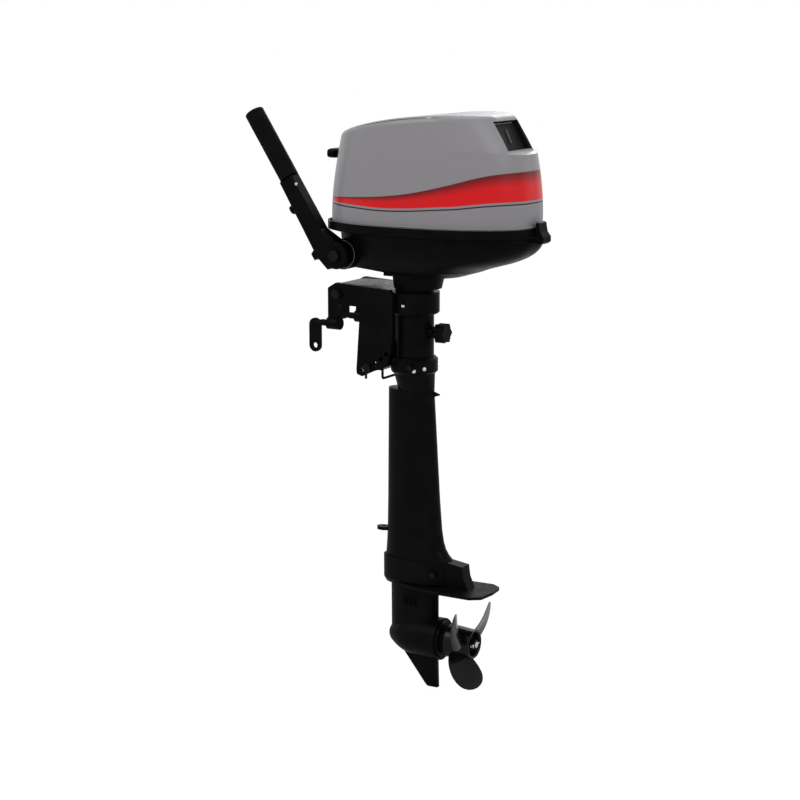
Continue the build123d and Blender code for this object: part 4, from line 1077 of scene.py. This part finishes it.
@dataclass
class Hardware:
    """Small turned parts: screws, a grease nipple and a pale ring of painted highlight, each on the face that
    carries it.

    Places and sizes are in millimetres. A screw's size is its head's half width and height, and a mount
    screw's spot is its heading in degrees and its height on the round face of the lower mount.
    """
    nipple_at: Place = (92.3, -49.2, 7.4)
    nipple_along: Place = (0.05, -1.0, 0.1)
    mount_x: float = 90.0
    mount_radius: float = 46.2
    mount_spots: tuple[Pair, ...] = ((-36.0, -117.5), (-62.0, -121.0))
    mount_screw: Pair = (3.2, 2.4)
    pivot_at: Pair = (-32.0, 103.0)
    highlight_ring_in: float = 1.0
    grip_at: Place = (-119.5, -99.3, 238.0)
    grip_head: Pair = (2.4, 1.0)

    def screw(self, at: Place, along: Place, size: Pair) -> Form:
        """A hexagon head with a rounded top on a thin washer, its profile carried round as a hexagon.

        Args:
            at: the middle of its foot.
            along: the way it stands.
            size: its half width and its height.

        Returns:
            The closed washer and head.
        """
        washer = np.array([(0.02, -0.6), (1.25, -0.6), (1.28, -0.1), (1.2, 0.16), (0.02, 0.16)])
        head = np.array([(0.02, -0.4), (1.0, -0.4), (1.0, 0.72), (0.95, 0.88), (0.84, 0.97), (0.6, 1.0),
                         (0.02, 1.0)])
        scale, foot = np.array(size) * MM, np.array(at) * MM
        base = turned(washer * scale, foot, along, steps=36)
        return base.joined(turned(head * scale, foot, along, sides=6, steps=36))

    def nipple(self) -> None:
        """The grease nipple on the swivel collar: a hexagon foot, a neck and a ball."""
        profile = np.array([(0.02, -3), (3.4, -3), (3.4, 0.6), (3.1, 1.0), (1.7, 1.2), (1.5, 2.2), (1.9, 3.0),
                            (2.1, 3.9), (1.8, 4.8), (1.1, 5.3), (0.02, 5.5)]) * MM
        form = turned(profile, np.array(self.nipple_at) * MM, self.nipple_along, steps=24)
        piece("grease_nipple", form, "swivel", Surface.BRIGHT_STEEL)

    def mount_screws(self) -> None:
        """Two screws in the lower mount, square to its round face, and their fellows to starboard."""
        screws = []
        for turn, height in self.mount_spots:
            heading = np.array([math.cos(math.radians(turn)), math.sin(math.radians(turn)), 0.0])
            foot = np.array([self.mount_x, 0.0, height]) + heading * self.mount_radius
            screws.append(self.screw(foot, heading, self.mount_screw))
        port = screws[0].joined(*screws[1:])
        both = port.joined(port.mirrored())
        piece("mount_screws", both, "motor", Surface.BRIGHT_STEEL, 30.0)

    def pivot_highlight_ring(self) -> None:
        """A pale ring behind the tiller's boss, its rim just standing out round it: a painted highlight for
        light on the boss's edge.
        """
        _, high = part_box("tiller_arm")
        profile = np.array([(20, 0.1), (27.6, 0.1), (27.95, 0.5), (27.6, 0.9), (20, 0.9)]) * MM
        x, z = self.pivot_at
        centre = (x * MM, high.y - self.highlight_ring_in * MM, z * MM)
        form = turned(profile, centre, (0, 1, 0), steps=96, closed=True)
        # painted highlight: the pale ring round the boss stands for light on its edge
        piece("pivot_highlight_ring", form, "tiller", Surface.BOSS_RING_HIGHLIGHT)

    def grip_screw(self) -> None:
        """The small screw in the arm by the grip's lower end."""
        form = self.screw(self.grip_at, (0.0, -1.0, 0.0), self.grip_head)
        piece("grip_screw", form, "tiller", Surface.BRIGHT_STEEL, 30.0)

    def build(self) -> None:
        """Makes all of the small parts."""
        self.nipple()
        self.mount_screws()
        self.pivot_highlight_ring()
        self.grip_screw()


# ---------------------------------------------------------------- studio
@dataclass(frozen=True)
class Lamp:
    """A square soft lamp: its name, place, side in metres and power in watts."""
    name: str
    at: Place
    side: float
    power: float


@dataclass
class Studio:
    """Camera, white surroundings, floor and soft lamps.

    Floor_keep is the share of the real shadow that the floor shows the camera, and floor_glow how
    bright it is to the camera otherwise.
    """
    camera_at: Place = (2.007, -3.3775, 0.570)
    look_at: Place = (0.057, 0.0, -0.190)
    lens: float = 90.0
    world_light: float = 0.55
    floor_reach: float = 14.0
    floor_drop: float = 0.001
    floor_grey: float = 0.86
    floor_keep: float = 0.1
    floor_glow: float = 1.06
    lit: Place = (0.1, 0.0, -0.05)
    lamps: tuple[Lamp, ...] = (
        Lamp("key", (-1.4, -2.2, 2.3), 1.6, 38.0),
        Lamp("fill", (2.6, -0.8, 1.6), 1.6, 22.0),
        Lamp("back", (-0.4, 2.7, 1.7), 1.6, 26.0),
        Lamp("top", (0.5, 0.2, 3.0), 1.4, 24.0))

    def aimed(self, name: str, data: bpy.types.ID, at: Place, target: Place) -> bpy.types.Object:
        """Puts a camera or a lamp up, with its own up kept upright.

        Args:
            name: its name.
            data: the camera or the lamp.
            at: where it stands.
            target: the point that it looks at.

        Returns:
            The object.
        """
        made = placed(name, data)
        made.location = at
        made.rotation_euler = (Vector(target) - Vector(at)).to_track_quat("-Z", "Y").to_euler()
        return made

    def camera(self) -> None:
        """The camera, off the outboard's port quarter."""
        data = bpy.data.cameras.new("view")
        data.lens, data.sensor_width, data.clip_end = self.lens, 36.0, 50.0
        bpy.context.scene.camera = self.aimed("view", data, self.camera_at, self.look_at)

    def world(self) -> None:
        """White where it is seen, mirrored or seen through, and a plain grey level as light."""
        world = bpy.data.worlds.new("surroundings")
        bpy.context.scene.world = world
        world.use_nodes = True
        nodes, links = world.node_tree.nodes, world.node_tree.links
        path = nodes.new("ShaderNodeLightPath")
        seen = path.outputs["Is Camera Ray"]
        for ray in ("Is Glossy Ray", "Is Transmission Ray"):
            either = nodes.new("ShaderNodeMath")
            either.operation = "MAXIMUM"
            links.new(seen, either.inputs[0])
            links.new(path.outputs[ray], either.inputs[1])
            seen = either.outputs[0]
        level = nodes.new("ShaderNodeMapRange")
        links.new(seen, level.inputs["Value"])
        level.inputs["To Min"].default_value = self.world_light
        level.inputs["To Max"].default_value = 1.0
        background = nodes["Background"]
        background.inputs["Color"].default_value = (1, 1, 1, 1)
        links.new(level.outputs["Result"], background.inputs["Strength"])

    def floor(self) -> None:
        """A wide pale floor under the skeg: white to the camera, with a faint share of the real shadow."""
        low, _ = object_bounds()
        reach, z = self.floor_reach, low.z - self.floor_drop
        mesh = bpy.data.meshes.new("floor")
        mesh.from_pydata([(-reach, -reach, z), (reach, -reach, z), (reach, reach, z), (-reach, reach, z)], [],
                         [(0, 1, 2, 3)])
        floor = placed("floor", mesh)
        floor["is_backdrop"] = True
        sheet = NodeSheet("floor_paper")
        sheet.constants(Roughness=0.9, Specular_IOR_Level=0.0, Base_Color=(*(self.floor_grey,) * 3, 1))
        glow = sheet.nodes.new("ShaderNodeEmission")
        glow.inputs["Strength"].default_value = self.floor_glow
        share = sheet.nodes.new("ShaderNodeMixShader")
        path = sheet.nodes.new("ShaderNodeLightPath")
        bright = sheet.math("MULTIPLY", path.outputs["Is Camera Ray"], 1 - self.floor_keep)
        sheet.links.new(bright, share.inputs[0])
        sheet.links.new(sheet.shader.outputs[0], share.inputs[1])
        sheet.links.new(glow.outputs[0], share.inputs[2])
        sheet.links.new(share.outputs[0], sheet.nodes["Material Output"].inputs["Surface"])
        mesh.materials.append(sheet.material)

    def build(self) -> None:
        """Sets the whole studio up."""
        self.camera()
        self.world()
        self.floor()
        for lamp in self.lamps:
            data = bpy.data.lights.new(lamp.name, "AREA")
            data.size, data.energy = lamp.side, lamp.power
            self.aimed(lamp.name, data, lamp.at, self.lit)
        bpy.context.scene.view_settings.view_transform = "Standard"
        LOG.info("studio ready")


def main() -> None:
    """Builds the outboard's looks round its frame, piece by piece."""
    logging.basicConfig(level=logging.INFO, format="%(message)s")
    dress_nodes()
    PropellerCasting().build()
    CowlTrim().build()
    StarterPull().build()
    StarterRope().build()
    Hardware().build()
    Studio().build()


if __name__ == "__main__":
    main()
